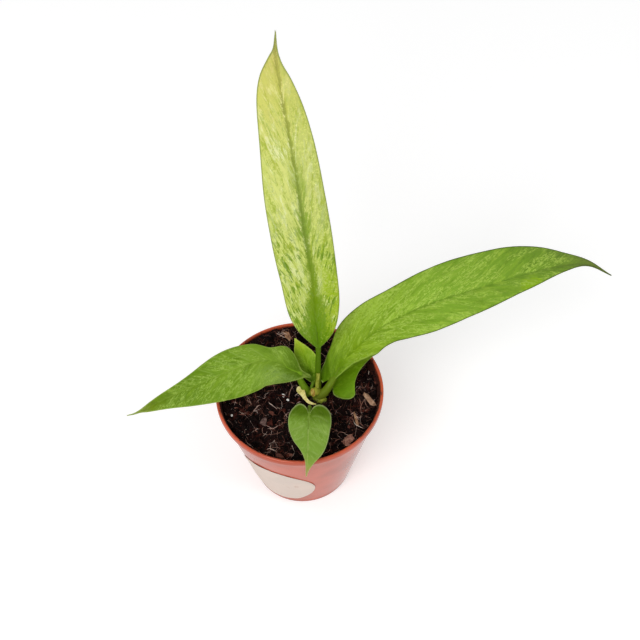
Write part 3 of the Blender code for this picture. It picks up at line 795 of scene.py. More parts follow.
# base, light, deep, core: colours from the stalk (0) to the tip (1)
# core_width: half width at the tip, what the stalk's end adds, and how fast that fades
# rake: lean of the streaks; patch: width and length of a blotch
# patches, shades, grain: strength of the light and the dark blotches and of fine streaks
# flecks: colour, threshold, strength, from, to, turned over, reach from the midrib
# squiggle, veins, margin: colour and strength
# sides: colour, strength, from and to across the blade, from and to along it
# spot: place along and across, half length, half width, colour
LEAF_LOOKS = {
    "tall": {
        "base": [(0.0, "#6c8d10"), (0.05, "#89a421"), (0.09, "#a8bd43"), (0.16, "#bdcb60"),
                 (0.3, "#cfda76"), (0.5, "#d9df82"), (0.66, "#d7dc80"), (0.84, "#d3d26e"),
                 (0.93, "#cbc86a"), (0.965, "#d1c282"), (1.0, "#e1d1b3")],
        "light": [(0.0, "#87a41d"), (0.06, "#c6d66c"), (0.16, "#dbe498"), (0.35, "#e3e9a6"),
                  (0.68, "#e9ecae"), (0.85, "#e4e08f"), (0.93, "#d7ce74"), (1.0, "#e1d1b3")],
        "deep": [(0.0, "#5e8306"), (0.1, "#86a51e"), (0.3, "#9cb034"), (0.5, "#abba48"),
                 (0.8, "#b9c050"), (0.93, "#bab85a"), (1.0, "#d1c193")],
        "core": [(0.0, "#517b02"), (0.08, "#638b02"), (0.2, "#76940c"), (0.33, "#77922a"),
                 (0.5, "#80963a"), (0.68, "#929f42"), (0.93, "#aaa852")],
        "core_width": (0.75, 10.0, 8.8), "core_amount": 0.92,
        "rake": 2.8, "patch": (3.4, 11.0), "patches": 0.9, "shades": 0.95, "grain": 0.16,
        "flecks": [("#5f8614", 0.525, 0.85, 0.02, 0.42, False, ANYWHERE),
                   ("#dbe596", 0.585, 0.75, 0.0, 0.4, True, ANYWHERE),
                   ("#7b9b2b", 0.46, 0.75, 0.12, 0.6, False, 5.5)],
        "squiggle": ("#a1b445", 0.5),
        "veins": ("#b2be64", 0.25), "margin": ("#829046", 0.7),
        # The second side is painted shade: a duller grey-green over the flank on the positive
        # side, from mid-blade to the tip
        "sides": [("#96b21d", 0.95, 1.5, 6.5, 0.5, 0.2), ("#a9b55a", 0.45, 0.3, 2.0, 0.3, 0.5),
                  ("#b3c658", 0.5, -1.5, -4.5, 0.32, 0.1),
                  ("#a9bd3c", 0.35, -11.0, -15.0, 0.2, 0.4),
                  ("#a3b43f", 0.35, 8.0, 11.5, 0.3, 0.5)],
        "rough": 0.46, "back": "#bdc67e",
    },
    "right": {
        "base": [(0.0, "#547503"), (0.05, "#668a06"), (0.1, "#77990d"), (0.18, "#81a322"),
                 (0.4, "#82a932"), (0.6, "#7ba130"), (0.75, "#75992f"), (0.86, "#6f8a31"),
                 (0.94, "#727f3d"), (1.0, "#7b7b4b")],
        "light": [(0.0, "#6c9009"), (0.06, "#80a413"), (0.12, "#96b827"), (0.2, "#a9c947"),
                  (0.33, "#9fc340"), (0.5, "#96b93f"), (0.68, "#8db036"), (0.8, "#799a31"),
                  (0.9, "#6e8534"), (1.0, "#7b7b4b")],
        "deep": [(0.0, "#456603"), (0.1, "#5f8208"), (0.3, "#698c1d"), (0.6, "#668c21"),
                 (0.8, "#607e29"), (1.0, "#676b3b")],
        "core": [(0.0, "#577a05"), (0.12, "#6f920f"), (0.3, "#6d9020"), (0.6, "#6f942c"),
                 (1.0, "#657634")],
        "core_width": (0.34, 0.5, 8.0), "core_amount": 0.8,
        "rake": 2.0, "patch": (3.0, 13.0), "patches": 0.55, "shades": 0.6, "grain": 0.2,
        "flecks": [("#9fbf42", 0.585, 0.5, 0.08, 0.8, False, ANYWHERE)],
        "squiggle": ("#adca55", 0.8),
        "veins": ("#83a23f", 0.3), "margin": ("#4f5d23", 0.75),
        "sides": [("#a8c64b", 0.75, -7.0, -13.0, 0.38, 0.2)],
        "spot": (0.675, 7.5, 0.04, 5.5, "#8bb023"),
        "rough": 0.42, "back": "#819a41",
    },
    "left": {
        "base": [(0.0, "#486805"), (0.07, "#5b7c14"), (0.14, "#6f9028"), (0.25, "#779929"),
                 (0.42, "#6f9320"), (0.6, "#66891b"), (0.78, "#628316"), (0.87, "#6b8514"),
                 (0.93, "#788837"), (0.965, "#8a9064"), (1.0, "#a9af89")],
        "light": [(0.0, "#5a7b0d"), (0.12, "#7a9b2e"), (0.3, "#86a836"), (0.45, "#84a72b"),
                  (0.65, "#7a9c21"), (0.87, "#79921e"), (0.965, "#979c6c"), (1.0, "#b4ba94")],
        "deep": [(0.0, "#466603"), (0.15, "#5c7e17"), (0.4, "#5c7f17"), (0.7, "#547610"),
                 (0.9, "#5f7416"), (1.0, "#8b9067")],
        "core": [(0.0, "#557608"), (0.14, "#729327"), (0.3, "#88a73c"), (0.6, "#82a333"),
                 (1.0, "#71842c")],
        "core_width": (0.3, 0.5, 6.0), "core_amount": 0.6,
        "rake": 1.5, "patch": (3.6, 12.0), "patches": 0.55, "shades": 0.75, "grain": 0.15,
        "flecks": [("#8fae38", 0.6, 0.45, 0.1, 0.85, False, ANYWHERE)],
        "squiggle": ("#9dba50", 0.68),
        "veins": ("#93b050", 0.55), "margin": ("#a9bf5c", 0.4),
        # The side is painted sheen: a paler grey-green over the flank on the negative side near
        # the stalk
        "sides": [("#7d9a48", 0.8, -1.5, -5.0, 0.34, 0.14)],
        "rough": 0.42, "back": "#809845",
    },
    "front": {
        # Darker towards the stalk, partly the blade's own colour and partly painted shade in the
        # notch by the crown
        "base": [(0.0, "#4f6d0a"), (0.1, "#6a8c24"), (0.22, "#7c9d3c"), (0.45, "#789a37"),
                 (0.65, "#779937"), (0.8, "#809a3d"), (0.88, "#98994b"), (0.95, "#ac9356"),
                 (1.0, "#b58f58")],
        "light": [(0.0, "#6a882c"), (0.3, "#80a042"), (0.65, "#87a746"), (0.82, "#91a44c"),
                  (0.92, "#a99b58"), (1.0, "#b58f58")],
        "deep": [(0.0, "#3a4e07"), (0.2, "#557316"), (0.5, "#608226"), (0.85, "#67872e"),
                 (1.0, "#988446")],
        "core": [(0.0, "#8aa44a"), (0.4, "#9ab15c"), (0.8, "#93a950"), (1.0, "#a39453")],
        "core_width": (0.22, 0.25, 4.0), "core_amount": 0.8,
        "rake": 1.2, "patch": (3.0, 8.0), "patches": 0.25, "shades": 0.35, "grain": 0.08,
        "flecks": [("#9dba5e", 0.63, 0.25, 0.1, 1.1, False, ANYWHERE)],
        "squiggle": ("#9fbb62", 0.3),
        "veins": ("#95ae5b", 0.6), "margin": ("#a4b571", 0.7),
        "sides": [("#b3935f", 0.6, 0.2, 1.5, 0.66, 0.84)],
        "rough": 0.4, "back": "#8fa657",
    },
    "young": {
        # Darker towards the stalk, partly the blade's own colour and partly painted shade near the
        # crown
        "base": [(0.0, "#324e03"), (0.14, "#4c7004"), (0.28, "#638a0a"), (0.45, "#719713"),
                 (0.65, "#82a818"), (0.8, "#95b223"), (0.93, "#aabe34"), (1.0, "#b8c253")],
        "light": [(0.0, "#446306"), (0.25, "#6d930e"), (0.45, "#80a61a"), (0.8, "#a9c530"),
                  (1.0, "#c1cb56")],
        "deep": [(0.0, "#263e03"), (0.2, "#466704"), (0.45, "#5a7d0a"), (0.8, "#82a01b"),
                 (1.0, "#9ca93b")],
        "core": [(0.0, "#3c5a06"), (0.25, "#5f830f"), (0.5, "#8fb026"), (1.0, "#b1c13d")],
        "core_width": (0.3, 0.3, 4.0), "core_amount": 0.6,
        "rake": 1.6, "patch": (3.0, 9.0), "patches": 0.5, "shades": 0.7, "grain": 0.1,
        "flecks": [("#9dbd3b", 0.6, 0.35, 0.2, 1.1, False, ANYWHERE)],
        "squiggle": ("#a1c044", 0.35),
        "veins": ("#97b63c", 0.4), "margin": ("#b6c954", 0.6),
        "sides": [("#7fa01c", 0.5, -0.6, -3.0, 0.12, 0.3)],
        "rough": 0.42, "back": "#8eac44",
    },
}


SHEEN = (0.95, 1.0, 0.6)


class LeafShader(Shader):
    """The colours of one side of a blade, from the measures stored on its mesh."""

    # Width, length and shift of the layers of crooked lines (mm)
    THREADS = ((1.5, 16.0, 5.1), (2.2, 11.0, 9.4), (3.0, 6.0, 2.2))
    # Painted shade and light on a folded lobe: dark green at its crease, bright green at its far
    # end
    LOBE_PAINTED_SHADE = [(0.0, "#4b6f06"), (0.3, "#527a05"), (0.75, "#679607"), (1.0, "#7aac16")]

    def __init__(self, name, look):
        super().__init__(name, look["rough"], 0.1, SHEEN)
        self.look = look
        self.along, self.across, self.part, self.to_edge, self.vein, self.lobe = (
            self.stored(name) for name in ("along", "across", "part", "to_edge", "vein", "lobe"))
        self.wide = self.math("ABSOLUTE", self.across)
        flat = self.join(self.along, self.across, 3.7)
        self.cell = self.cells(flat, 2.4)
        self.broad = self.noise(flat, 0.13, 2.0)
        self.fine = self.noise(flat, 0.95, 5.0, 0.68, 0.6)
        self.crumbs = self.noise(self.drawn(1.1, 7.5, 1.3), 1.0, 4.0, 0.68, 0.8)
        self.grain = self.noise(self.drawn(0.7, 6.0, 6.6), 1.0, 3.0, 0.6, 0.8)
        # Flecks and lines grow faint on a folded lobe
        self.plain = self.step(self.lobe, 0.3, 1.5, 1.0, 0.3)

    def drawn(self, width, length, shift):
        """Give a vector for patterns of a width and length (mm) drawn out as streaks."""
        # Streaks run towards the tip and the margin; lane is measured square to them
        rake = self.look["rake"]
        slope = math.hypot(1.0, rake)
        lane = self.math("MULTIPLY_ADD", self.wide, -rake, self.along)
        return self.join(self.times(lane, 1.0 / (slope * width)),
                         self.times(self.across, slope / length), shift)

    def lengthwise(self, key):
        """Read one of the look's colour tables along the blade."""
        return self.ramp(self.part, self.look[key])

    def ragged(self, value, fine, crumbs):
        """Tear a value's edges by these amounts of the fine and the drawn-out noise."""
        value = self.add(value, self.step(self.fine, 0.3, 0.7, -fine, fine))
        return self.add(value, self.step(self.crumbs, 0.3, 0.7, -crumbs, crumbs))

    def blotches(self, shift):
        """Give ragged blotches drawn out as streaks."""
        cloud = self.noise(self.drawn(*self.look["patch"], shift), 1.0, 4.0, 0.62, 0.7)
        return self.step(self.ragged(cloud, 0.06, 0.07), 0.5, 0.62)

    def ground(self):
        """Paint the blade's own colours, blotch by blotch."""
        look, deep = self.look, self.lengthwise("deep")
        colour = self.paint(self.lengthwise("base"), deep, self.blotches(2.3), look["shades"])
        colour = self.paint(colour, self.lengthwise("light"), self.blotches(8.1),
                            look["patches"])
        colour = self.paint(colour, deep, self.step(self.grain, 0.47, 0.66, 0.0, look["grain"]))
        for tone, amount, first, last, start, end in look["sides"]:
            colour = self.paint(colour, tone, self.step(self.across, first, last),
                                self.step(self.part, start, end),
                                self.step(self.fine, 0.34, 0.54), amount)
        if "spot" in look:
            middle, aside, long, broad, tone = look["spot"]
            off = (self.times(self.add(self.part, -middle), 1.0 / long),
                   self.times(self.add(self.across, -aside), 1.0 / broad))
            reach = self.add(*(self.times(value, value) for value in off))
            reach = self.add(reach, self.step(self.crumbs, 0.3, 0.7, -0.5, 0.5))
            colour = self.paint(colour, tone, self.step(reach, 1.1, 0.5))
        return colour

    def flecks(self, colour):
        """Add ragged flecks drawn out along the side veins."""
        for tone, threshold, amount, start, end, inverted, reach in self.look["flecks"]:
            source = self.math("SUBTRACT", 1.0, self.crumbs) if inverted else self.crumbs
            dense = self.add(source, self.step(self.broad, 0.32, 0.68, -0.075, 0.075))
            colour = self.paint(colour, tone, self.step(dense, threshold, threshold + 0.05),
                                self.step(self.part, start - 0.05, start + 0.05),
                                self.step(self.part, end + 0.12, end - 0.12),
                                self.step(self.wide, reach, 0.3 * reach), self.plain, amount)
        return colour

    def threads(self, colour):
        """Add thin crooked lines, in layers that wander apart."""
        tone, amount = self.look["squiggle"]
        clumps = self.noise(self.drawn(4.5, 13.0, 3.3), 1.0, 2.0)
        for layer in self.THREADS:
            wander = self.noise(self.drawn(*layer), 1.0, 2.5, 0.55, 1.0)
            colour = self.paint(colour, tone, self.line(wander, 0.034, 0.008),
                                self.step(clumps, 0.42, 0.56), self.step(self.fine, 0.38, 0.52),
                                self.step(self.part, 0.9, 0.78), self.plain,
                                self.step(self.part, 0.03, 0.2, 0.12, 1.0), amount)
        return colour

    def ribs(self, colour):
        """Add the side veins, the midrib and the margin."""
        tone, amount = self.look["veins"]
        colour = self.paint(colour, tone, self.vein, self.vein, amount)
        narrow, extra, fall = self.look["core_width"]
        fading = self.math("POWER", math.e, self.times(self.part, -fall))
        width = self.math("MULTIPLY_ADD", fading, extra, narrow)
        torn = self.ragged(self.math("DIVIDE", self.wide, width), 0.5, 0.9)
        colour = self.paint(colour, self.lengthwise("core"), self.step(torn, 1.45, 0.35),
                            self.look["core_amount"])
        tone, amount = self.look["margin"]
        return self.paint(colour, tone, self.step(self.to_edge, 0.65, 0.2), amount)

    def lobes(self, colour):
        """Paint shade on a folded lobe, deepest by its crease and lighter farther out, mottle it,
        pale its margin and paint a highlight along its crease.
        """
        lobe = self.lobe
        # Painted shade and light: the lobe is dark by its crease, brighter farther out and farther
        # along the blade
        skin = self.ramp(self.step(lobe, 0.0, 14.0), self.LOBE_PAINTED_SHADE)
        skin = self.paint(skin, "#7b9c2a", self.step(self.part, 0.07, 0.2, 0.0, 0.75))
        skin = self.paint(skin, "#92b830", self.step(self.crumbs, 0.44, 0.62),
                          self.step(self.fine, 0.4, 0.6), 0.55)
        skin = self.paint(skin, "#49690a", self.step(self.broad, 0.42, 0.62, 0.0, 0.4))
        colour = self.paint(colour, skin, self.step(lobe, 0.0, 0.8, 0.0, 0.68))
        colour = self.paint(colour, "#b4cf6a", self.step(self.to_edge, 0.5, 0.15),
                            self.step(lobe, 0.5, 2.0), 0.6)
        # Painted highlight: a pale line along the crease
        return self.paint(colour, "#a2bf55", self.step(lobe, 0.0, 0.15),
                          self.step(lobe, 0.8, 0.35), self.step(self.across, 0.0, 1.5), 0.45)


def leaf_material(name, look, underside):
    """Colour one side of a blade."""
    shader = LeafShader(name, look)
    colour = shader.flecks(shader.ground())
    colour = shader.lobes(shader.ribs(shader.threads(colour)))
    dull = look["rough"]
    if underside:
        colour = shader.paint(colour, look["back"], 0.62)
        dull += 0.12
    normal = shader.bump(shader.cell, 0.14, 0.00012)
    normal = shader.bump(shader.fine, 0.5, 0.0003, normal)
    normal = shader.bump(shader.grain, 0.4, 0.0004, normal)
    shader.set_surface({"Subsurface Weight": 0.1, "Subsurface Scale": 1.0,
                        "Subsurface Radius": (0.0008, 0.0012, 0.0003)})
    rough = shader.step(shader.fine, 0.3, 0.7, dull - 0.06, dull + 0.1)
    return shader.finish(colour, rough, normal)


def stalk_material(name, low, high):
    """Green stalk skin with fine ridges and pale specks."""
    shader = Shader(name, 0.42, 0.22, SHEEN)
    height = shader.split(shader.place)[2]
    clouds = shader.noise(shader.place, 420.0)
    specks = shader.cells(shader.place, 1300.0)
    colour = shader.paint(low, high, shader.step(height, 0.064, 0.078))
    colour = shader.paint(colour, shade(low, 0.62), shader.step(clouds, 0.58, 0.72, 0.0, 0.55))
    colour = shader.paint(colour, "#8fa04a", shader.step(specks, 0.16, 0.07, 0.0, 0.7))
    normal = shader.bump(shader.noise(shader.place, 900.0), 0.3, 0.00015)
    return shader.finish(colour, shader.step(clouds, 0.3, 0.7, 0.36, 0.52), normal)


def pot_material():
    """Glossy terracotta-coloured plastic, dusty and scratched, dark brown inside, with painted
    shade at its foot.
    """
    plastic = bpy.context.scene.anthurium_pot.colour
    shader = Shader("Terracotta plastic", 0.16, 0.4)
    place = shader.place
    x, y, height = shader.split(place)
    flow = shader.noise(place, 38.0)
    dust = shader.noise(place, 620.0, 4.0, 0.7)
    clumps = shader.noise(place, 70.0)
    colour = shader.paint(shade(plastic, 0.86), shade(plastic, 1.12, 0.012),
                          shader.step(flow, 0.35, 0.68))
    colour = shader.paint(colour, "#c4a090", shader.step(dust, 0.5, 0.74),
                          shader.step(clumps, 0.4, 0.7), 0.08)
    colour = shader.paint(colour, "#3a211b", shader.step(shader.cells(place, 520.0), 0.1, 0.05),
                          shader.step(clumps, 0.5, 0.62), 0.75)

    # The inside turns dark brown below the rim's lip, and darker and rougher below a ragged line
    # near the top
    base, high, neck = pot_wall()
    wall = shader.math("MULTIPLY_ADD", height, (high - base) / neck, base * MM)
    depth = shader.math("SUBTRACT", wall, shader.from_axis(x, y))
    inside = shader.step(depth, 0.0002, 0.0006)
    stain = shader.noise(place, 330.0, 5.0, 0.75)
    colour = shader.paint(colour, "#4a1f15", inside,
                          shader.step(height, 0.0697, 0.0684, 0.1, 0.8))
    reach = shader.add(height, shader.step(stain, 0.3, 0.75, 0.0024, -0.0028))
    smear = shader.times(inside, shader.step(reach, 0.0697, 0.0683))
    colour = shader.paint(colour, "#241009", smear, 0.85)
    # Painted shade: the bottom 4 mm of the wall darken to a greyish brown
    colour = shader.paint(colour, "#7d5546", shader.step(height, 0.004, 0.0), 0.35)

    # Fine turning lines and a few scratches
    rings = shader.noise(shader.join(0.0, 0.0, shader.times(height, 9.0)), 260.0)
    around = shader.times(shader.math("ARCTAN2", y, x), 2.0)
    scratches = shader.noise(shader.join(around, shader.times(height, 900.0), 0.5), 2.2, 2.0)
    thin = shader.times(shader.line(scratches, 0.008, 0.002), shader.step(clumps, 0.52, 0.66))
    normal = shader.bump(rings, 0.04, 0.0001)
    normal = shader.bump(thin, 0.15, 0.00004, normal)
    normal = shader.bump(flow, 0.12, 0.0006, normal)
    rough = shader.add(shader.step(dust, 0.3, 0.75, 0.14, 0.24), shader.times(smear, 0.4))
    return shader.finish(colour, rough, normal)


def paper_material():
    """Plain matte label paper, a little scuffed and damp-stained."""
    base = bpy.context.scene.anthurium_pot.label_colour
    shader = Shader("Label paper", 0.62, 0.3)
    clouds = shader.noise(shader.place, 60.0, 4.0)
    stains = shader.noise(shader.place, 130.0, 5.0, 0.65)
    dirt = shader.cells(shader.place, 480.0)
    colour = shader.paint(base, shade(base, 1.08), shader.step(clouds, 0.35, 0.7))
    colour = shader.paint(colour, "#c49a80", shader.step(stains, 0.6, 0.75, 0.0, 0.4))
    colour = shader.paint(colour, "#6b4a3a", shader.step(dirt, 0.09, 0.04, 0.0, 0.7))
    normal = shader.bump(shader.noise(shader.place, 1500.0, 2.0), 0.2, 0.00008)
    normal = shader.bump(clouds, 0.35, 0.0004, normal)
    return shader.finish(colour, shader.step(clouds, 0.3, 0.7, 0.5, 0.7), normal)


def soil_material(name, loose):
    """Damp dark soil; loose crumbs take their tone from the mesh."""
    base = bpy.context.scene.anthurium_soil.colour
    black = shade(base, 0.25)
    shader = Shader(name, 0.7, 0.09)
    grains = shader.noise(shader.place, 900.0, 5.0, 0.7)
    clods = shader.noise(shader.place, 150.0, 4.0, 0.6)
    if loose:
        colour = shader.ramp(shader.stored("tone"), [
            (0.0, black), (0.35, base), (0.6, "#2b0f0b"), (0.8, "#451a12"), (0.93, "#683226"),
            (1.0, "#a06c5c")])
        colour = shader.paint(colour, black, shader.step(grains, 0.35, 0.7, 0.55, 0.0))
    else:
        colour = shader.paint(black, base, shader.step(clods, 0.4, 0.66))
        colour = shader.paint(colour, "#37140f", shader.step(grains, 0.52, 0.72, 0.0, 0.5))
    glints = shader.cells(shader.place, 1300.0)
    colour = shader.paint(colour, "#8d7474", shader.step(glints, 0.14, 0.05, 0.0, 0.7))
    rough = shader.step(clods, 0.3, 0.7, 0.3, 0.85)
    return shader.finish(colour, rough, shader.bump(grains, 1.0, 0.0008))


def dry_material(name, colours, scale, rough):
    """Dry plant stuff or stone: two or three colours in blotches."""
    shader = Shader(name, rough, 0.35)
    blotches = shader.noise(shader.place, scale, 4.0, 0.65)
    colour = shader.ramp(blotches, [(0.3 + 0.4 * index / (len(colours) - 1), tone)
                                    for index, tone in enumerate(colours)])
    return shader.finish(colour, shader.step(blotches, 0.3, 0.7, rough - 0.1, rough + 0.12),
                         shader.bump(blotches, 0.7, 0.0004))


# ---------------------------------------------------------------- soil surface

def soil_height(x, y):
    """Give the height of the soil under a spot, in millimetres."""
    level = SOIL_LEVEL - 0.03 * x + 0.05 * y
    broad = noise.noise(Vector((x, y, 0.0)) / 7.0) * 0.9
    lumps = noise.fractal(Vector((x, y, 4.0)) / 2.6, 0.9, 2.1, 4) * 1.1
    pits = max(noise.noise(Vector((x, y, 9.0)) / 2.4), 0.0) ** 2 * 4.0
    bank = 3.4 * float(soft_step(20.0, 39.0, 0.9 * y - 0.42 * x))
    bank += 1.2 * float(soft_step(35.0, SOIL_RADIUS, math.hypot(x, y)))
    dip = 1.5 * math.exp(-math.dist((x, y), DIP_SPOT) ** 2 / 45.0)
    sides = -0.6 * max(math.hypot(x, y) - 36.5, 0.0) / 4.0
    return level + broad + lumps - pits + bank - dip + sides


def free_spot(chance, keep_clear, reach=SOIL_RADIUS):
    """Pick a spot on the soil, away from the crown."""
    while True:
        x, y = chance.uniform(-reach, reach), chance.uniform(-reach, reach)
        if math.hypot(x, y) < reach and math.dist((x, y), CROWN_SPOT) > keep_clear:
            return x, y


def lump(rounds):
    """Make the points and faces of one rough crumb, about 1 across."""
    deselect_all()
    bpy.ops.mesh.primitive_ico_sphere_add(subdivisions=rounds, radius=0.5)
    piece = bpy.context.object
    points = coordinates(piece)
    faces = [tuple(polygon.vertices) for polygon in piece.data.polygons]
    bpy.data.objects.remove(piece)
    return points, faces


def scatter(name, stamps, tones):
    """Join copies of small shapes, each (points, faces), into one mesh."""
    points, faces, start = [], [], 0
    for spots, sides in stamps:
        points.append(spots)
        faces.extend(tuple(index + start for index in side) for side in sides)
        start += len(spots)
    mesh = bpy.data.meshes.new(name)
    mesh.from_pydata(np.concatenate(points), [], faces)
    piece = link_object(name, mesh)
    store(piece, "tone", np.repeat(tones, [len(spots) for spots in points]))
    return piece


def arc(radius, height, reach, start, end, count):
    """List points of a section's round corner; angles in degrees from outwards."""
    angles = [math.radians(start + (end - start) * n / (count - 1)) for n in range(count)]
    return [(radius + reach * math.cos(a), height + reach * math.sin(a)) for a in angles]


def line_between(first, last, count):
    """List count points from first towards last, without last."""
    return [(first[0] + (last[0] - first[0]) * n / count,
             first[1] + (last[1] - first[1]) * n / count) for n in range(count)]


class ANTHURIUM_OT_pot(bpy.types.Operator):
    """Turn the nursery pot with its rolled rim, recessed base and drain holes"""
    bl_idname = "anthurium.pot"
    bl_label = "Pot"

    # Number and radius of the drain holes, and radius of the ring they lie on (mm)
    HOLES, HOLE_RADIUS, HOLE_RING = 6, 3.0, 18.0

    def execute(self, context):
        settings = context.scene.anthurium_pot
        top, rim = settings.height / MM, settings.rim_radius / MM
        base, high, neck = pot_wall()

        def wall(height):
            return base + (high - base) / neck * height

        # The section runs out over the floor, up the inside, over the rim and down outside
        section = [(0.5, 1.6), (8.0, 1.6), (15.0, 1.6), (21.5, 1.6)]
        section += arc(wall(2.8) - 2.2, 2.8, 1.2, -90, -5, 6)
        section += line_between((wall(4.0) - WALL, 4.0), (wall(neck) - WALL, neck), 10)
        section += arc(high - 1.9, neck - 0.2, 0.9, 0, 25, 3)
        section += arc(rim - 0.75, top - 0.75, 0.75, 170, 0, 12)
        section += arc(rim - 0.5, neck + 0.5, 0.5, 0, -90, 6)
        section += arc(high + 0.45, neck - 0.45, 0.45, 90, 180, 5)[1:]
        section += line_between((wall(neck - 1.2), neck - 1.2), (wall(1.3), 1.3), 12)
        section += arc(base - 0.72, 1.0, 1.0, 5, -90, 8)
        section += [(23.0, 0.0), (22.6, 0.15), (22.3, 0.6), (21.6, 0.75), (14.0, 0.75)]
        pot = lathe([(radius * MM, height * MM) for radius, height in section], 144)
        for hole in range(self.HOLES):
            angle = math.tau * (hole + 0.5) / self.HOLES
            ring = self.HOLE_RING * MM
            deselect_all()
            bpy.ops.mesh.primitive_cylinder_add(
                vertices=32, radius=self.HOLE_RADIUS * MM, depth=12.0 * MM,
                location=(ring * math.cos(angle), ring * math.sin(angle), 1.0 * MM))
            cutter = context.object
            drain = pot.modifiers.new("Drain", "BOOLEAN")
            drain.operation = "DIFFERENCE"
            drain.solver = "EXACT"
            drain.object = cutter
            apply_modifiers(pot)
            bpy.data.objects.remove(cutter)
        pot.data.materials.clear()
        pot.data.materials.append(pot_material())
        settle(pot, "pot_body", ("pot",), 35.0)
        return {"FINISHED"}


class ANTHURIUM_OT_label(bpy.types.Operator):
    """Stick the round bare paper label on the pot's wall"""
    bl_idname = "anthurium.label"
    bl_label = "Label"

    # Radius, the way its middle lies up the wall (mm) and its bearing (degrees)
    RADIUS, MIDDLE, BEARING = 21.5, 26.5, -119.0

    def execute(self, context):
        base, high, neck = pot_wall()
        slant = math.hypot(neck, high - base)
        sine = (high - base) / slant
        # The wall is part of a cone; the label lies on it as on a flat fan
        apex = base / sine
        x, y = round_grid(self.RADIUS, 97)
        reach = np.hypot(x, y) / self.RADIUS
        lift = np.empty_like(reach)
        for index in np.ndindex(lift.shape):
            spot = Vector((x[index], y[index], 2.0))
            rim = soft_step(0.86, 1.0, reach[index])
            lift[index] = 0.25 + 0.05 * noise.noise(spot / 6.0)
            lift[index] += rim * (0.1 + 0.28 * max(noise.noise(spot / 9.0 + Vector((3, 1, 5))), 0))
        up = y + self.MIDDLE + apex
        away = np.hypot(x, up)
        angle = math.radians(self.BEARING) + np.arctan2(x, up) / sine
        wide = away * sine + lift
        height = (away - apex) * neck / slant
        places = np.stack((wide * np.cos(angle), wide * np.sin(angle), height), axis=-1)
        label = grid_sheet(places * MM)
        middle = middle_face(label)
        if middle.normal.xy.dot(middle.center.xy) < 0.0:
            turn_over(label)
        thicken(label, 0.16 * MM)
        label.data.materials.append(paper_material())
        settle(label, "round_label", ("pot_label",), 45.0)
        return {"FINISHED"}


class ANTHURIUM_OT_soil(bpy.types.Operator):
    """Fill the pot with soil that has a lumpy top"""
    bl_idname = "anthurium.soil"
    bl_label = "Soil"

    def execute(self, context):
        x, y = round_grid(SOIL_RADIUS, 191)
        height = np.empty_like(x)
        for index in np.ndindex(height.shape):
            height[index] = soil_height(x[index], y[index])
        # The wall leans out, so raised soil reaches farther
        raised = np.maximum(height - SOIL_LEVEL, 0.0)
        lean = 1.0 + 0.005 * raised * (x * x + y * y) / SOIL_RADIUS ** 2
        soil = grid_sheet(np.stack((x * lean, y * lean, height), axis=-1) * MM)
        edit_all(soil)
        bpy.ops.mesh.select_all(action="DESELECT")
        bpy.ops.mesh.select_mode(type="EDGE")
        bpy.ops.mesh.select_non_manifold()
        # A skirt, level at its top, closes the soil down to the pot's floor
        bpy.ops.mesh.extrude_edges_move()
        bpy.ops.transform.resize(value=(0.94, 0.94, 0.0), center_override=(0, 0, 58.0 * MM))
        bpy.ops.mesh.extrude_edges_move(TRANSFORM_OT_translate={"value": (0, 0, -55.9 * MM)})
        bpy.ops.transform.resize(value=(0.62, 0.62, 1.0), center_override=(0.0, 0.0, 0.0))
        bpy.ops.mesh.edge_face_add()
        face_outwards(soil)
        soil.data.materials.append(soil_material("Damp soil", False))
        settle(soil, "soil_bed", ("soil",), 180.0)
        return {"FINISHED"}


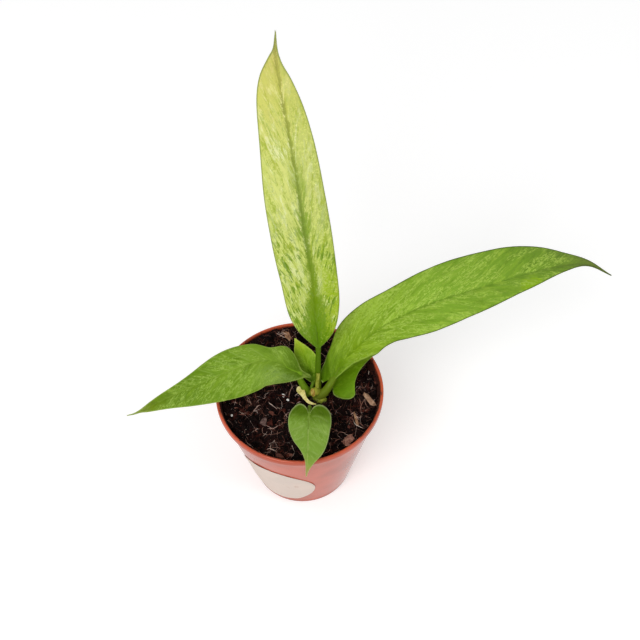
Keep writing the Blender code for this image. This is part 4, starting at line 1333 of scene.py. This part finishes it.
class ANTHURIUM_OT_crumbs(bpy.types.Operator):
    """Scatter crumbs and grit over the soil and leave some stuck inside the rim"""
    bl_idname = "anthurium.crumbs"
    bl_label = "Crumbs and grit"

    # Number of grains of pale grit, and of different shapes of each kind of lump
    GRIT, SHAPES = 110, 12

    def stamps(self, chance, shapes, count, low, high, form, sink=0.1, walls=0.0):
        """Place lumps of random size and turn on the soil or on the inner wall."""
        base, top, neck = pot_wall()
        result = []
        for index in range(count):
            points, faces = shapes[index % len(shapes)]
            size = low * (high / low) ** (chance.random() ** 1.8)
            turn = Matrix.Rotation(chance.uniform(0, math.tau), 3, "Z")
            turn = turn @ Matrix.Rotation(chance.gauss(0.0, 0.35), 3, "Y")
            turn = turn @ Matrix.Rotation(chance.gauss(0.0, 0.6), 3, "X")
            stretch = np.array([chance.uniform(*ends) for ends in form]) * size
            if chance.random() < walls:
                angle = chance.gauss(0.9, 0.8)
                height = chance.uniform(62.5, 67.5)
                wall = top - (neck - height) * (top - base) / neck - WALL
                reach = wall - 0.15 - 0.2 * size
                place = (reach * math.cos(angle), reach * math.sin(angle), height)
            else:
                x, y = free_spot(chance, 5.0, 38.8 - size * 0.8)
                while math.dist((x, y), DIP_SPOT) < 5.5 and size > 0.9:
                    x, y = free_spot(chance, 5.0, 38.8 - size * 0.8)
                place = (x, y, soil_height(x, y) + size * chance.uniform(sink, 0.3))
            spots = points * stretch @ np.array(turn).T + np.array(place)
            result.append((spots * MM, faces))
        return result

    def execute(self, context):
        settings = context.scene.anthurium_soil
        chance = random.Random(settings.seed)
        shapes = {}
        for rounds in (1, 2):
            points, faces = lump(rounds)
            shapes[rounds] = []
            for kind in range(self.SHAPES):
                shift = Vector((kind * 3.1, 1.7, 0.4))
                rough = [1.0 + noise.noise(Vector(p) * 3.4 + shift) for p in points]
                shapes[rounds].append((points * np.array(rough)[:, None], faces))
        count = settings.crumbs
        coarse = int(count * 0.26)
        flake = ((0.8, 1.7), (0.6, 1.1), (0.3, 0.75))
        shred = ((2.2, 5.0), (0.4, 0.8), (0.2, 0.5))
        stamps = self.stamps(chance, shapes[2], coarse, 1.2, 3.4, flake)
        stamps += self.stamps(chance, shapes[1], int(count * 0.42), 0.5, 1.4, flake, walls=0.08)
        stamps += self.stamps(chance, shapes[2], int(count * 0.32), 0.6, 1.7, shred, sink=0.2)
        tones = [chance.random() ** (2.6 if index < coarse else 1.4)
                 for index in range(len(stamps))]
        crumbs = scatter("crumbs", stamps, tones)
        crumbs.data.materials.append(soil_material("Loose crumbs", True))
        settle(crumbs, "soil_crumbs", angle=50.0)
        grit = self.stamps(chance, shapes[1], self.GRIT, 0.3, 0.8, flake, sink=0.3)
        grit = scatter("grit", grit, [chance.random() for _ in grit])
        grit.data.materials.append(dry_material(
            "Pale grit", ("#6f625c", "#a3968c", "#cfc6b8"), 700.0, 0.6))
        settle(grit, "soil_grit", angle=40.0)
        return {"FINISHED"}


class ANTHURIUM_OT_fibres(bpy.types.Operator):
    """Lay thin coir fibres over the soil"""
    bl_idname = "anthurium.fibres"
    bl_label = "Coir fibres"

    # Spots where fibres gather, ends of straws, and how both thin out along their length
    NESTS = ((-6.0, 33.5), (28.0, -13.0), (-24.0, -6.0), (-14.0, -29.0), (30.0, 2.0))
    STRAWS = ((-11.5, 36.0, -4.6, 33.6), (-9.8, 37.2, -3.6, 35.0), (-9.0, 34.0, -5.4, 36.4),
              (26.0, -9.4, 29.6, -15.4), (23.0, -12.6, 29.0, -9.6), (-25.0, -8.4, -19.4, -4.0),
              (-20.0, -28.0, -12.6, -31.4), (-16.6, -2.4, -12.2, -6.8))
    TAPER = np.array([0.55, 0.95, 1.0, 1.0, 0.95, 0.85, 0.65, 0.3])
    STRAW_TAPER = np.array([0.6, 0.9, 1.0, 1.0, 1.0, 0.9, 0.8, 0.5])

    def execute(self, context):
        settings = context.scene.anthurium_soil
        chance = random.Random(settings.seed + 1)
        paths, radii, tones = [], [], []
        for _ in range(settings.fibres):
            x, y = free_spot(chance, 4.5)
            if chance.random() < 0.22:
                nest = chance.choice(self.NESTS)
                x, y = (middle + chance.gauss(0.0, 2.6) for middle in nest)
            heading = chance.uniform(0, math.tau)
            bend = chance.gauss(0.0, 0.28)
            length = 3.5 * 4.5 ** (chance.random() ** 1.5)
            rise = chance.uniform(0.15, 0.9) * min(length / 6.0, 1.4)
            steps = len(self.TAPER)
            path = []
            for step in range(steps):
                share = step / (steps - 1)
                lift = 0.12 + rise * math.sin(math.pi * share) ** 1.2
                path.append((x, y, soil_height(x, y) + 0.35 + lift))
                heading += bend + chance.gauss(0.0, 0.16)
                nx = x + math.cos(heading) * length / steps
                ny = y + math.sin(heading) * length / steps
                if math.hypot(nx, ny) > 39.0:
                    heading += 1.5
                    nx = x + math.cos(heading) * length / steps * 0.4
                    ny = y + math.sin(heading) * length / steps * 0.4
                x, y = nx, ny
            thick = chance.uniform(0.045, 0.11) if chance.random() < 0.92 else 0.16
            paths.append(np.array(path) * MM)
            radii.append(self.TAPER * thick * MM)
            tones.append(chance.random())
        for x0, y0, x1, y1 in self.STRAWS:
            path = []
            for share in np.linspace(0.0, 1.0, len(self.STRAW_TAPER)):
                x = x0 + (x1 - x0) * share + 0.4 * math.sin(5.0 * share + x0)
                y = y0 + (y1 - y0) * share
                path.append((x, y, soil_height(x, y) + 0.75 + 0.5 * math.sin(math.pi * share)))
            paths.append(np.array(path) * MM)
            radii.append(self.STRAW_TAPER * 0.19 * MM)
            tones.append(chance.uniform(0.82, 0.95))
        fibres = strands("fibres", paths, radii, tones=tones)
        shader = Shader("Coir fibre", 0.6, 0.35)
        colour = shader.ramp(shader.stored("tone"), [
            (0.0, "#33150f"), (0.35, "#5f2c20"), (0.62, "#96604f"), (0.82, "#c79b8a"),
            (1.0, "#ead6c8")])
        patches = shader.noise(shader.place, 300.0)
        colour = shader.paint(colour, "#240f0c", shader.step(patches, 0.5, 0.66, 0.0, 0.75))
        fibres.data.materials.append(shader.finish(colour))
        settle(fibres, "coir_fibres", angle=180.0)
        return {"FINISHED"}


class ANTHURIUM_OT_chips(bpy.types.Operator):
    """Lay the wood splinter, the bark chips, the twig and the white grains on the soil"""
    bl_idname = "anthurium.chips"
    bl_label = "Chips and grains"

    COLOURS = {
        "splinter_wood": ("#7d5742", "#ab8468", "#cba588"),
        "pink_bark": ("#5a3330", "#a06a58", "#c99a86"),
        "tan_bark": ("#6b4430", "#a07556", "#c49c7c"),
        "grey_bark": ("#3b2724", "#6a504a", "#937a72"),
    }

    def chop(self, points, chance, straight):
        """Cut a cube's points back to random planes and give them a grain."""
        for _ in range(6 if straight else 9):
            way = unit(np.array([chance.gauss(0.0, 1.0) for _ in range(3)]))
            if straight:
                way = unit(way * (1.0, 0.5, 0.35))
            depth = chance.uniform(0.4, 0.55) if straight else chance.uniform(0.24, 0.46)
            over = np.maximum(points @ way - depth, 0.0)
            points = points - way * over[:, None]
        shift = chance.uniform(0.0, 50.0)
        result = points.copy()
        for index, (x, y, z) in enumerate(points):
            bend = noise.noise(Vector((x * 1.3, shift, 0.0)))
            grain = noise.noise(Vector((x * 1.2, y * 8.0, shift)))
            ends = noise.noise(Vector((shift, y * 6.0, z * 5.0)))
            rough = noise.fractal(Vector((x * 3.0, y * 3.0, z * 3.0 + shift)), 1.0, 2.0, 3)
            result[index] += (0.1 * ends * abs(x) * 2.0 + 0.02 * rough,
                              0.16 * bend + 0.05 * rough,
                              0.14 * bend + (0.1 * grain if z > 0 else 0.0) + 0.06 * rough)
        return result

    def execute(self, context):
        for name, (length, width, height, x, y, bearing, tilt, colour) in CHIPS.items():
            deselect_all()
            bpy.ops.mesh.primitive_cube_add(size=1.0)
            chip = context.object
            edit_all(chip)
            bpy.ops.mesh.subdivide(number_cuts=19)
            bpy.ops.object.mode_set(mode="OBJECT")
            points = self.chop(coordinates(chip), random.Random(name), length / width > 2.5)
            points *= np.array([length, width, height])
            turn = Matrix.Rotation(math.radians(bearing), 3, "Z")
            turn = turn @ Matrix.Rotation(math.radians(tilt), 3, "Y")
            points = points @ np.array(turn).T
            lift = soil_height(x, y) + 0.35 - float(points[:, 2].min())
            move_vertices(chip, (points + np.array([x, y, lift])) * MM)
            chip.data.materials.append(dry_material(
                f"{name} wood", self.COLOURS[colour], 620.0, 0.72))
            settle(chip, f"{name}_piece", (name,), 24.0)
        for name, (radius, x, y) in GRAINS.items():
            deselect_all()
            bpy.ops.mesh.primitive_ico_sphere_add(subdivisions=4, radius=radius)
            grain = context.object
            points = coordinates(grain)
            for index, point in enumerate(points):
                rough = noise.fractal(Vector(point) * 1.1 + Vector((x, y, 0)), 1.0, 2.0, 3)
                points[index] *= 1.0 + 0.28 * rough
            low = float(points[:, 2].min())
            points += np.array([x, y, soil_height(x, y) - low + 0.3])
            move_vertices(grain, points * MM)
            grain.data.materials.append(dry_material(
                f"{name} stone", ("#dcd5cd", "#f1ede7", "#fdfbf8"), 900.0, 0.8))
            settle(grain, f"{name}_grain", (name,), 60.0)
        return {"FINISHED"}


class ANTHURIUM_OT_crown(bpy.types.Operator):
    """Grow the crown's lumps into one knobbly stem with root stubs"""
    bl_idname = "anthurium.crown"
    bl_label = "Crown"

    # Number of root stubs around its foot
    ROOTS = 9

    def execute(self, context):
        parts = []
        chance = random.Random(5)
        lumps = list(CROWN_LUMPS)
        for root in range(self.ROOTS):
            angle = math.tau * root / self.ROOTS + chance.uniform(-0.3, 0.3)
            reach = chance.uniform(3.4, 4.6)
            size = chance.uniform(0.7, 1.2)
            x = CROWN_SPOT[0] + reach * math.cos(angle)
            y = CROWN_SPOT[1] + reach * math.sin(angle)
            lumps.append(((x, y, chance.uniform(61.6, 63.4)), (size, size, size * 1.3)))
        for middle, sizes in lumps:
            deselect_all()
            bpy.ops.mesh.primitive_uv_sphere_add(
                segments=32, ring_count=16, radius=MM, location=Vector(middle) * MM)
            context.object.scale = sizes
            bpy.ops.object.transform_apply(location=True, rotation=True, scale=True)
            parts.append(context.object)
        deselect_all()
        for part in parts:
            part.select_set(True)
        context.view_layer.objects.active = parts[0]
        bpy.ops.object.join()
        crown = context.object
        join = crown.modifiers.new("Join", "REMESH")
        join.mode = "VOXEL"
        join.voxel_size = 0.3 * MM
        smooth = crown.modifiers.new("Smooth", "SMOOTH")
        smooth.iterations = 4
        apply_modifiers(crown)
        points = coordinates(crown) / MM
        normals = np.empty(len(points) * 3)
        crown.data.vertices.foreach_get("normal", normals)
        for index, normal in enumerate(normals.reshape(-1, 3)):
            x, y, z = points[index]
            rings = 0.12 * math.sin(z * 5.2 + 1.5 * noise.noise(Vector((x, y, z)) / 2.0))
            rough = 0.22 * noise.fractal(Vector((x, y, z * 1.6)) / 1.5, 1.0, 2.0, 3)
            points[index] += normal * (rings + rough)
        move_vertices(crown, points * MM)
        shader = Shader("Knobbly stem skin", 0.65, 0.35)
        height = shader.split(shader.place)[2]
        blotch = shader.noise(shader.place, 330.0, 4.0, 0.65)
        colour = shader.ramp(blotch, [(0.32, "#4d570e"), (0.5, "#7a8618"), (0.68, "#a0a62c")])
        # Soil clings to its foot
        reach = shader.add(height, shader.step(blotch, 0.3, 0.7, -0.0012, 0.0012))
        colour = shader.paint(colour, "#22110d", shader.step(reach, 0.0645, 0.0628), 0.9)
        normal = shader.bump(blotch, 0.6, 0.0005)
        crown.data.materials.append(shader.finish(colour, normal=normal))
        settle(crown, "crown_base", ("crown_stem",), 180.0)
        return {"FINISHED"}


class ANTHURIUM_OT_stalks(bpy.types.Operator):
    """Bend each leaf stalk out of the crown and up into the rib of its blade"""
    bl_idname = "anthurium.stalks"
    bl_label = "Leaf stalks"

    COLOURS = {
        "tall": ("#6a7c10", "#4f7004"), "right": ("#66741a", "#5f7d0c"),
        "left": ("#668418", "#729a1a"), "front": ("#5c7320", "#6c8a2a"),
        "young": ("#5f7f12", "#5b830f"),
    }
    # Leaves whose stalk runs only a short way under the blade
    SHORT_JOINS = ("young", "right")

    def execute(self, context):
        for key, (foot, top, points) in STALKS.items():
            blade = Blade(LEAVES[key])
            tip = 0.36 * LEAVES[key]["rib"][0]
            # The stalk dives under the blade and thins out into its rib
            spots = np.array([0.0, 2.2, 5.0, 9.0])
            if key in self.SHORT_JOINS:
                spots = spots * 0.7
            middle, _, _, normal = blade.frame(spots)
            thinned = soft_step(0.0, spots[-1], spots)
            sink = top * (1.0 - thinned) + tip * thinned
            sink = sink + np.array([-0.15, 0.12, 0.15, 0.15])
            ends = middle - normal * sink[:, None]
            path = smooth_path(list(points) + [tuple(spot) for spot in ends], 72)
            reach = np.linspace(0.0, 1.0, len(path))
            length = np.linalg.norm(np.diff(path, axis=0), axis=1).sum()
            start = 1.0 - spots[-1] / length
            radius = foot + (top - foot) * reach / start
            swell = 0.12 * top * np.exp(-((reach - start + 0.03) / 0.05) ** 2)
            fade = soft_step(start, 1.0, reach)
            radius = np.where(reach < start, radius, top) + swell
            radius = radius * (1.0 - fade) + tip * fade
            stalk = strands(f"stalk {key}", [path * MM], [radius * MM], 9)
            low, high = self.COLOURS[key]
            stalk.data.materials.append(stalk_material(f"{key} stalk skin", low, high))
            settle(stalk, f"{key}_leaf_stalk", (f"stalk_{key}",), 50.0)
        return {"FINISHED"}


class ANTHURIUM_OT_dry_growth(bpy.types.Operator):
    """Add the cut stub of an old stalk and the two dry sheaths by the crown"""
    bl_idname = "anthurium.dry_growth"
    bl_label = "Stub and dry sheaths"

    def sheath(self, name, points, face, widths, curl, node, colours):
        """Lay a papery strip on a path; widths lists shares of its length and half widths."""
        rows, columns = 90, 12
        path = smooth_path(points, rows + 1)
        forward = unit(np.gradient(path, axis=0))
        facing = np.array(face, float)
        side = unit(np.cross(forward, facing))
        normal = np.cross(side, forward)
        share = np.linspace(0.0, 1.0, rows + 1)
        half = np.interp(share, *zip(*widths))
        half = np.convolve(np.pad(half, 4, "edge"), np.ones(9) / 9.0, "valid")
        across = np.linspace(-1.0, 1.0, 2 * columns + 1)
        turned = across[None, :] * curl * (0.6 + 0.6 * share[:, None])
        spread = half[:, None] * np.sin(turned) / curl
        lift = half[:, None] * (1.0 - np.cos(turned)) / curl
        lift = lift + 0.16 * np.sin(share * 9.0)[:, None] * across[None, :] * half[:, None]
        places = (path[:, None] + side[:, None] * spread[..., None]
                  + normal[:, None] * lift[..., None])
        sheet = grid_sheet(places * MM)
        thicken(sheet, 0.16 * MM, offset=0.0)
        sheet.data.materials.append(dry_material(f"{name} skin", colours, 480.0, 0.6))
        settle(sheet, name, (node,), 60.0)

    def execute(self, context):
        self.sheath("pale_old_sheath",
                    [(8.7, 0.2, 63.6), (8.8, 0.7, 67.0), (9.1, 1.6, 70.5), (9.5, 2.9, 74.2),
                     (9.7, 4.3, 77.0)],
                    (-0.1, -0.9, 0.4),
                    ((0.0, 1.7), (0.35, 1.35), (0.7, 1.0), (0.93, 1.1), (1.0, 0.9)), -1.25,
                    "old_sheath", ("#77821f", "#979f33", "#c3bf5c"))
        self.sheath("dry_curled_cataphyll",
                    [(-1.0, 4.0, 66.0), (-0.1, 2.7, 66.3), (1.3, 0.5, 66.2), (2.6, -2.5, 65.6),
                     (4.4, -4.8, 65.2), (6.6, -5.9, 65.0), (8.0, -6.4, 65.4)],
                    (-0.2, -0.4, 0.9),
                    ((0.0, 0.5), (0.04, 1.9), (0.12, 2.7), (0.26, 2.5), (0.42, 1.4), (0.58, 1.0),
                     (0.75, 0.8), (0.92, 0.4), (1.0, 0.12)), 0.9, "dry_cataphyll",
                    ("#b8aa52", "#e9dc86", "#fbf2ba"))
        path = smooth_path([(9.8, 1.2, 62.0), (9.5, 0.8, 65.6), (8.4, 0.0, 67.4),
                            (6.7, -0.9, 67.9)], 40)
        radius = 1.7 + 0.6 * soft_step(0.3, 1.0, np.linspace(0.0, 1.0, 40))
        stub = strands("stub", [path * MM], [radius * MM], 10)
        points = coordinates(stub)
        cut = Vector((-0.84, -0.3, 0.45)).normalized()
        forward = Vector(path[-1] - path[-2]).normalized()
        end = Vector(path[-1]) * MM
        last = [abs((Vector(point) - end).dot(forward)) < 0.02 * MM for point in points]
        for index in np.flatnonzero(last):
            offset = Vector(points[index]) - end
            points[index] -= np.array(forward) * (offset.dot(cut) / forward.dot(cut)) * 0.55
        move_vertices(stub, points)
        shader = Shader("Stub skin", 0.6, 0.35)
        blotch = shader.noise(shader.place, 380.0, 4.0)
        colour = shader.ramp(blotch, [(0.3, "#748018"), (0.5, "#969a28"), (0.7, "#b0aa3a")])
        normal = shader.bump(blotch, 0.5, 0.0004)
        stub.data.materials.append(shader.finish(colour, normal=normal))
        stub.data.materials.append(dry_material(
            "Stub cut face", ("#6b4416", "#c09b3e", "#e6d27e"), 900.0, 0.7))
        activate(stub)
        for group in (stub.data.polygons, stub.data.edges):
            for item in group:
                item.select = all(last[vertex] for vertex in item.vertices)
        for vertex in stub.data.vertices:
            vertex.select = bool(last[vertex.index])
        bpy.ops.object.mode_set(mode="EDIT")
        bpy.ops.mesh.select_mode(type="FACE")
        bpy.ops.mesh.dissolve_faces()
        bpy.ops.mesh.inset(thickness=0.28 * MM)
        stub.active_material_index = 1
        bpy.ops.object.material_slot_assign()
        bpy.ops.mesh.inset(thickness=0.2 * MM)
        drop = -0.3 * MM * cut
        bpy.ops.transform.translate(value=tuple(drop))
        bpy.ops.mesh.inset(thickness=0.5 * MM)
        bpy.ops.transform.translate(value=tuple(drop * -0.5))
        bpy.ops.object.mode_set(mode="OBJECT")
        settle(stub, "old_stalk_stub", ("cut_stalk_stub",), 45.0)
        return {"FINISHED"}


class ANTHURIUM_OT_leaves(bpy.types.Operator):
    """Make the five leaf blades"""
    bl_idname = "anthurium.leaves"
    bl_label = "Leaves"

    SLOTS = {"tall": "leaf_pale", "right": "leaf_green"}

    def execute(self, context):
        for key, leaf in LEAVES.items():
            settle(blade_mesh(key), f"{key}_leaf_blade",
                   (leaf["node"],), 180.0)
        return {"FINISHED"}


class ANTHURIUM_OT_stage(bpy.types.Operator):
    """Lay the white floor and set the soft studio lamps and the camera"""
    bl_idname = "anthurium.stage"
    bl_label = "Stage"

    # Where the camera stands (m), how it is turned (degrees) and its lens (mm)
    CAMERA_PLACE = (0.0, -0.33203, 0.56976)
    CAMERA_TURN = (-1.946, 53.091, -1.5)
    LENS, SENSOR = 66.656, 36.0

    def floor(self):
        """Lay a floor that turns plain white away from the pot, to meet the backdrop."""
        deselect_all()
        bpy.ops.mesh.primitive_plane_add(size=6.0)
        floor = bpy.context.object
        floor.name = "studio_floor"
        shader = Shader("White floor", 0.9, 0.1)
        shader.set_surface({"Base Color": (0.86, 0.86, 0.86)})
        base = shader.surface.outputs[0]

        def glow(strength):
            return shader.node("Emission", {"Strength": strength}).outputs[0]

        def blend(factor, first, second):
            return shader.node("MixShader", {0: factor, 1: first, 2: second}).outputs[0]

        near = shader.node("AddShader", {0: base, 1: glow(0.34)}).outputs[0]
        east, north = shader.split(shader.place)[:2]
        far = shader.step(shader.from_axis(east, north), 0.4, 0.85)
        # Glossy surfaces mirror an even white, the camera sees the lit floor
        ray = shader.nodes.new("ShaderNodeLightPath")
        dull = blend(ray.outputs["Is Glossy Ray"], base, glow(0.85))
        mixed = blend(ray.outputs["Is Camera Ray"], dull, blend(far, near, glow(1.0)))
        shader.links.new(mixed, shader.nodes["Material Output"].inputs["Surface"])
        floor.data.materials.append(shader.material)

    def backdrop(self, strength):
        """Make the surroundings white to the camera and softer as a light."""
        world = bpy.data.worlds.new("Studio")
        world.use_nodes = True
        bpy.context.scene.world = world
        nodes, links = world.node_tree.nodes, world.node_tree.links
        back = nodes["Background"]
        back.inputs["Color"].default_value = (1.0, 1.0, 1.0, 1.0)
        ray = nodes.new("ShaderNodeLightPath")
        seen = nodes.new("ShaderNodeMath")
        seen.operation = "MAXIMUM"
        links.new(ray.outputs["Is Camera Ray"], seen.inputs[0])
        links.new(ray.outputs["Is Transmission Ray"], seen.inputs[1])
        level = nodes.new("ShaderNodeMapRange")
        links.new(seen.outputs[0], level.inputs[0])
        level.inputs["To Min"].default_value = strength
        level.inputs["To Max"].default_value = 1.0
        links.new(level.outputs[0], back.inputs["Strength"])

    def lamp(self, name, place, target, size, power):
        """Aim a square area lamp."""
        light = bpy.data.lights.new(name, "AREA")
        light.shape = "SQUARE"
        light.size = size
        light.energy = power
        lamp = link_object(name, light)
        lamp.location = place
        aim = Vector(target) - Vector(place)
        lamp.rotation_euler = aim.to_track_quat("-Z", "Y").to_euler()

    def camera(self):
        """Set the camera above the front of the pot."""
        data = bpy.data.cameras.new("Camera")
        data.lens = self.LENS
        data.sensor_width = self.SENSOR
        camera = link_object("Camera", data)
        yaw, slope, roll = (math.radians(angle) for angle in self.CAMERA_TURN)
        back = Vector((math.sin(yaw) * math.cos(slope), -math.cos(yaw) * math.cos(slope),
                       math.sin(slope)))
        across = Vector((math.cos(yaw), math.sin(yaw), 0.0))
        up = back.cross(across)
        right = across * math.cos(roll) + up * math.sin(roll)
        top = up * math.cos(roll) - across * math.sin(roll)
        turn = Matrix((right, top, back)).transposed().to_4x4()
        camera.matrix_world = Matrix.Translation(self.CAMERA_PLACE) @ turn
        bpy.context.scene.camera = camera

    def execute(self, context):
        settings = context.scene.anthurium_stage
        self.floor()
        self.backdrop(settings.sky)
        self.lamp("Key", (-0.62, -1.02, 1.3), (0.0, 0.0, 0.08), 0.95, settings.key)
        self.lamp("Fill", (0.95, -0.35, 0.55), (0.0, 0.0, 0.06), 0.7, settings.fill)
        self.camera()
        context.scene.view_settings.view_transform = "Standard"
        return {"FINISHED"}


class ANTHURIUM_PT_panel(bpy.types.Panel):
    """Settings and builders of the potted anthurium"""
    bl_label = "Potted anthurium"
    bl_idname = "ANTHURIUM_PT_panel"
    bl_space_type = "VIEW_3D"
    bl_region_type = "UI"
    bl_category = "Anthurium"

    def draw(self, context):
        for name, group in GROUPS.items():
            box = self.layout.box()
            for setting in group.__annotations__:
                box.prop(getattr(context.scene, name), setting)
        for operator in OPERATORS:
            self.layout.operator(operator.bl_idname)


GROUPS = {
    "anthurium_pot": PotSettings,
    "anthurium_soil": SoilSettings,
    "anthurium_leaf": LeafSettings,
    "anthurium_stage": StageSettings,
}
OPERATORS = (
    ANTHURIUM_OT_pot, ANTHURIUM_OT_label, ANTHURIUM_OT_soil, ANTHURIUM_OT_crumbs,
    ANTHURIUM_OT_fibres, ANTHURIUM_OT_chips, ANTHURIUM_OT_crown, ANTHURIUM_OT_stalks,
    ANTHURIUM_OT_dry_growth, ANTHURIUM_OT_leaves, ANTHURIUM_OT_stage,
)


def register():
    """Make Blender know the settings, the builders and the panel."""
    for name, group in GROUPS.items():
        bpy.utils.register_class(group)
        setattr(bpy.types.Scene, name, PointerProperty(type=group))
    for operator in OPERATORS:
        bpy.utils.register_class(operator)
    bpy.utils.register_class(ANTHURIUM_PT_panel)


def unregister():
    """Let go of all that register added."""
    bpy.utils.unregister_class(ANTHURIUM_PT_panel)
    for operator in reversed(OPERATORS):
        bpy.utils.unregister_class(operator)
    for name, group in reversed(GROUPS.items()):
        delattr(bpy.types.Scene, name)
        bpy.utils.unregister_class(group)


def main():
    """Build every piece."""
    register()
    for operator in OPERATORS:
        group, name = operator.bl_idname.split(".")
        getattr(getattr(bpy.ops, group), name)()


if __name__ == "__main__":
    main()
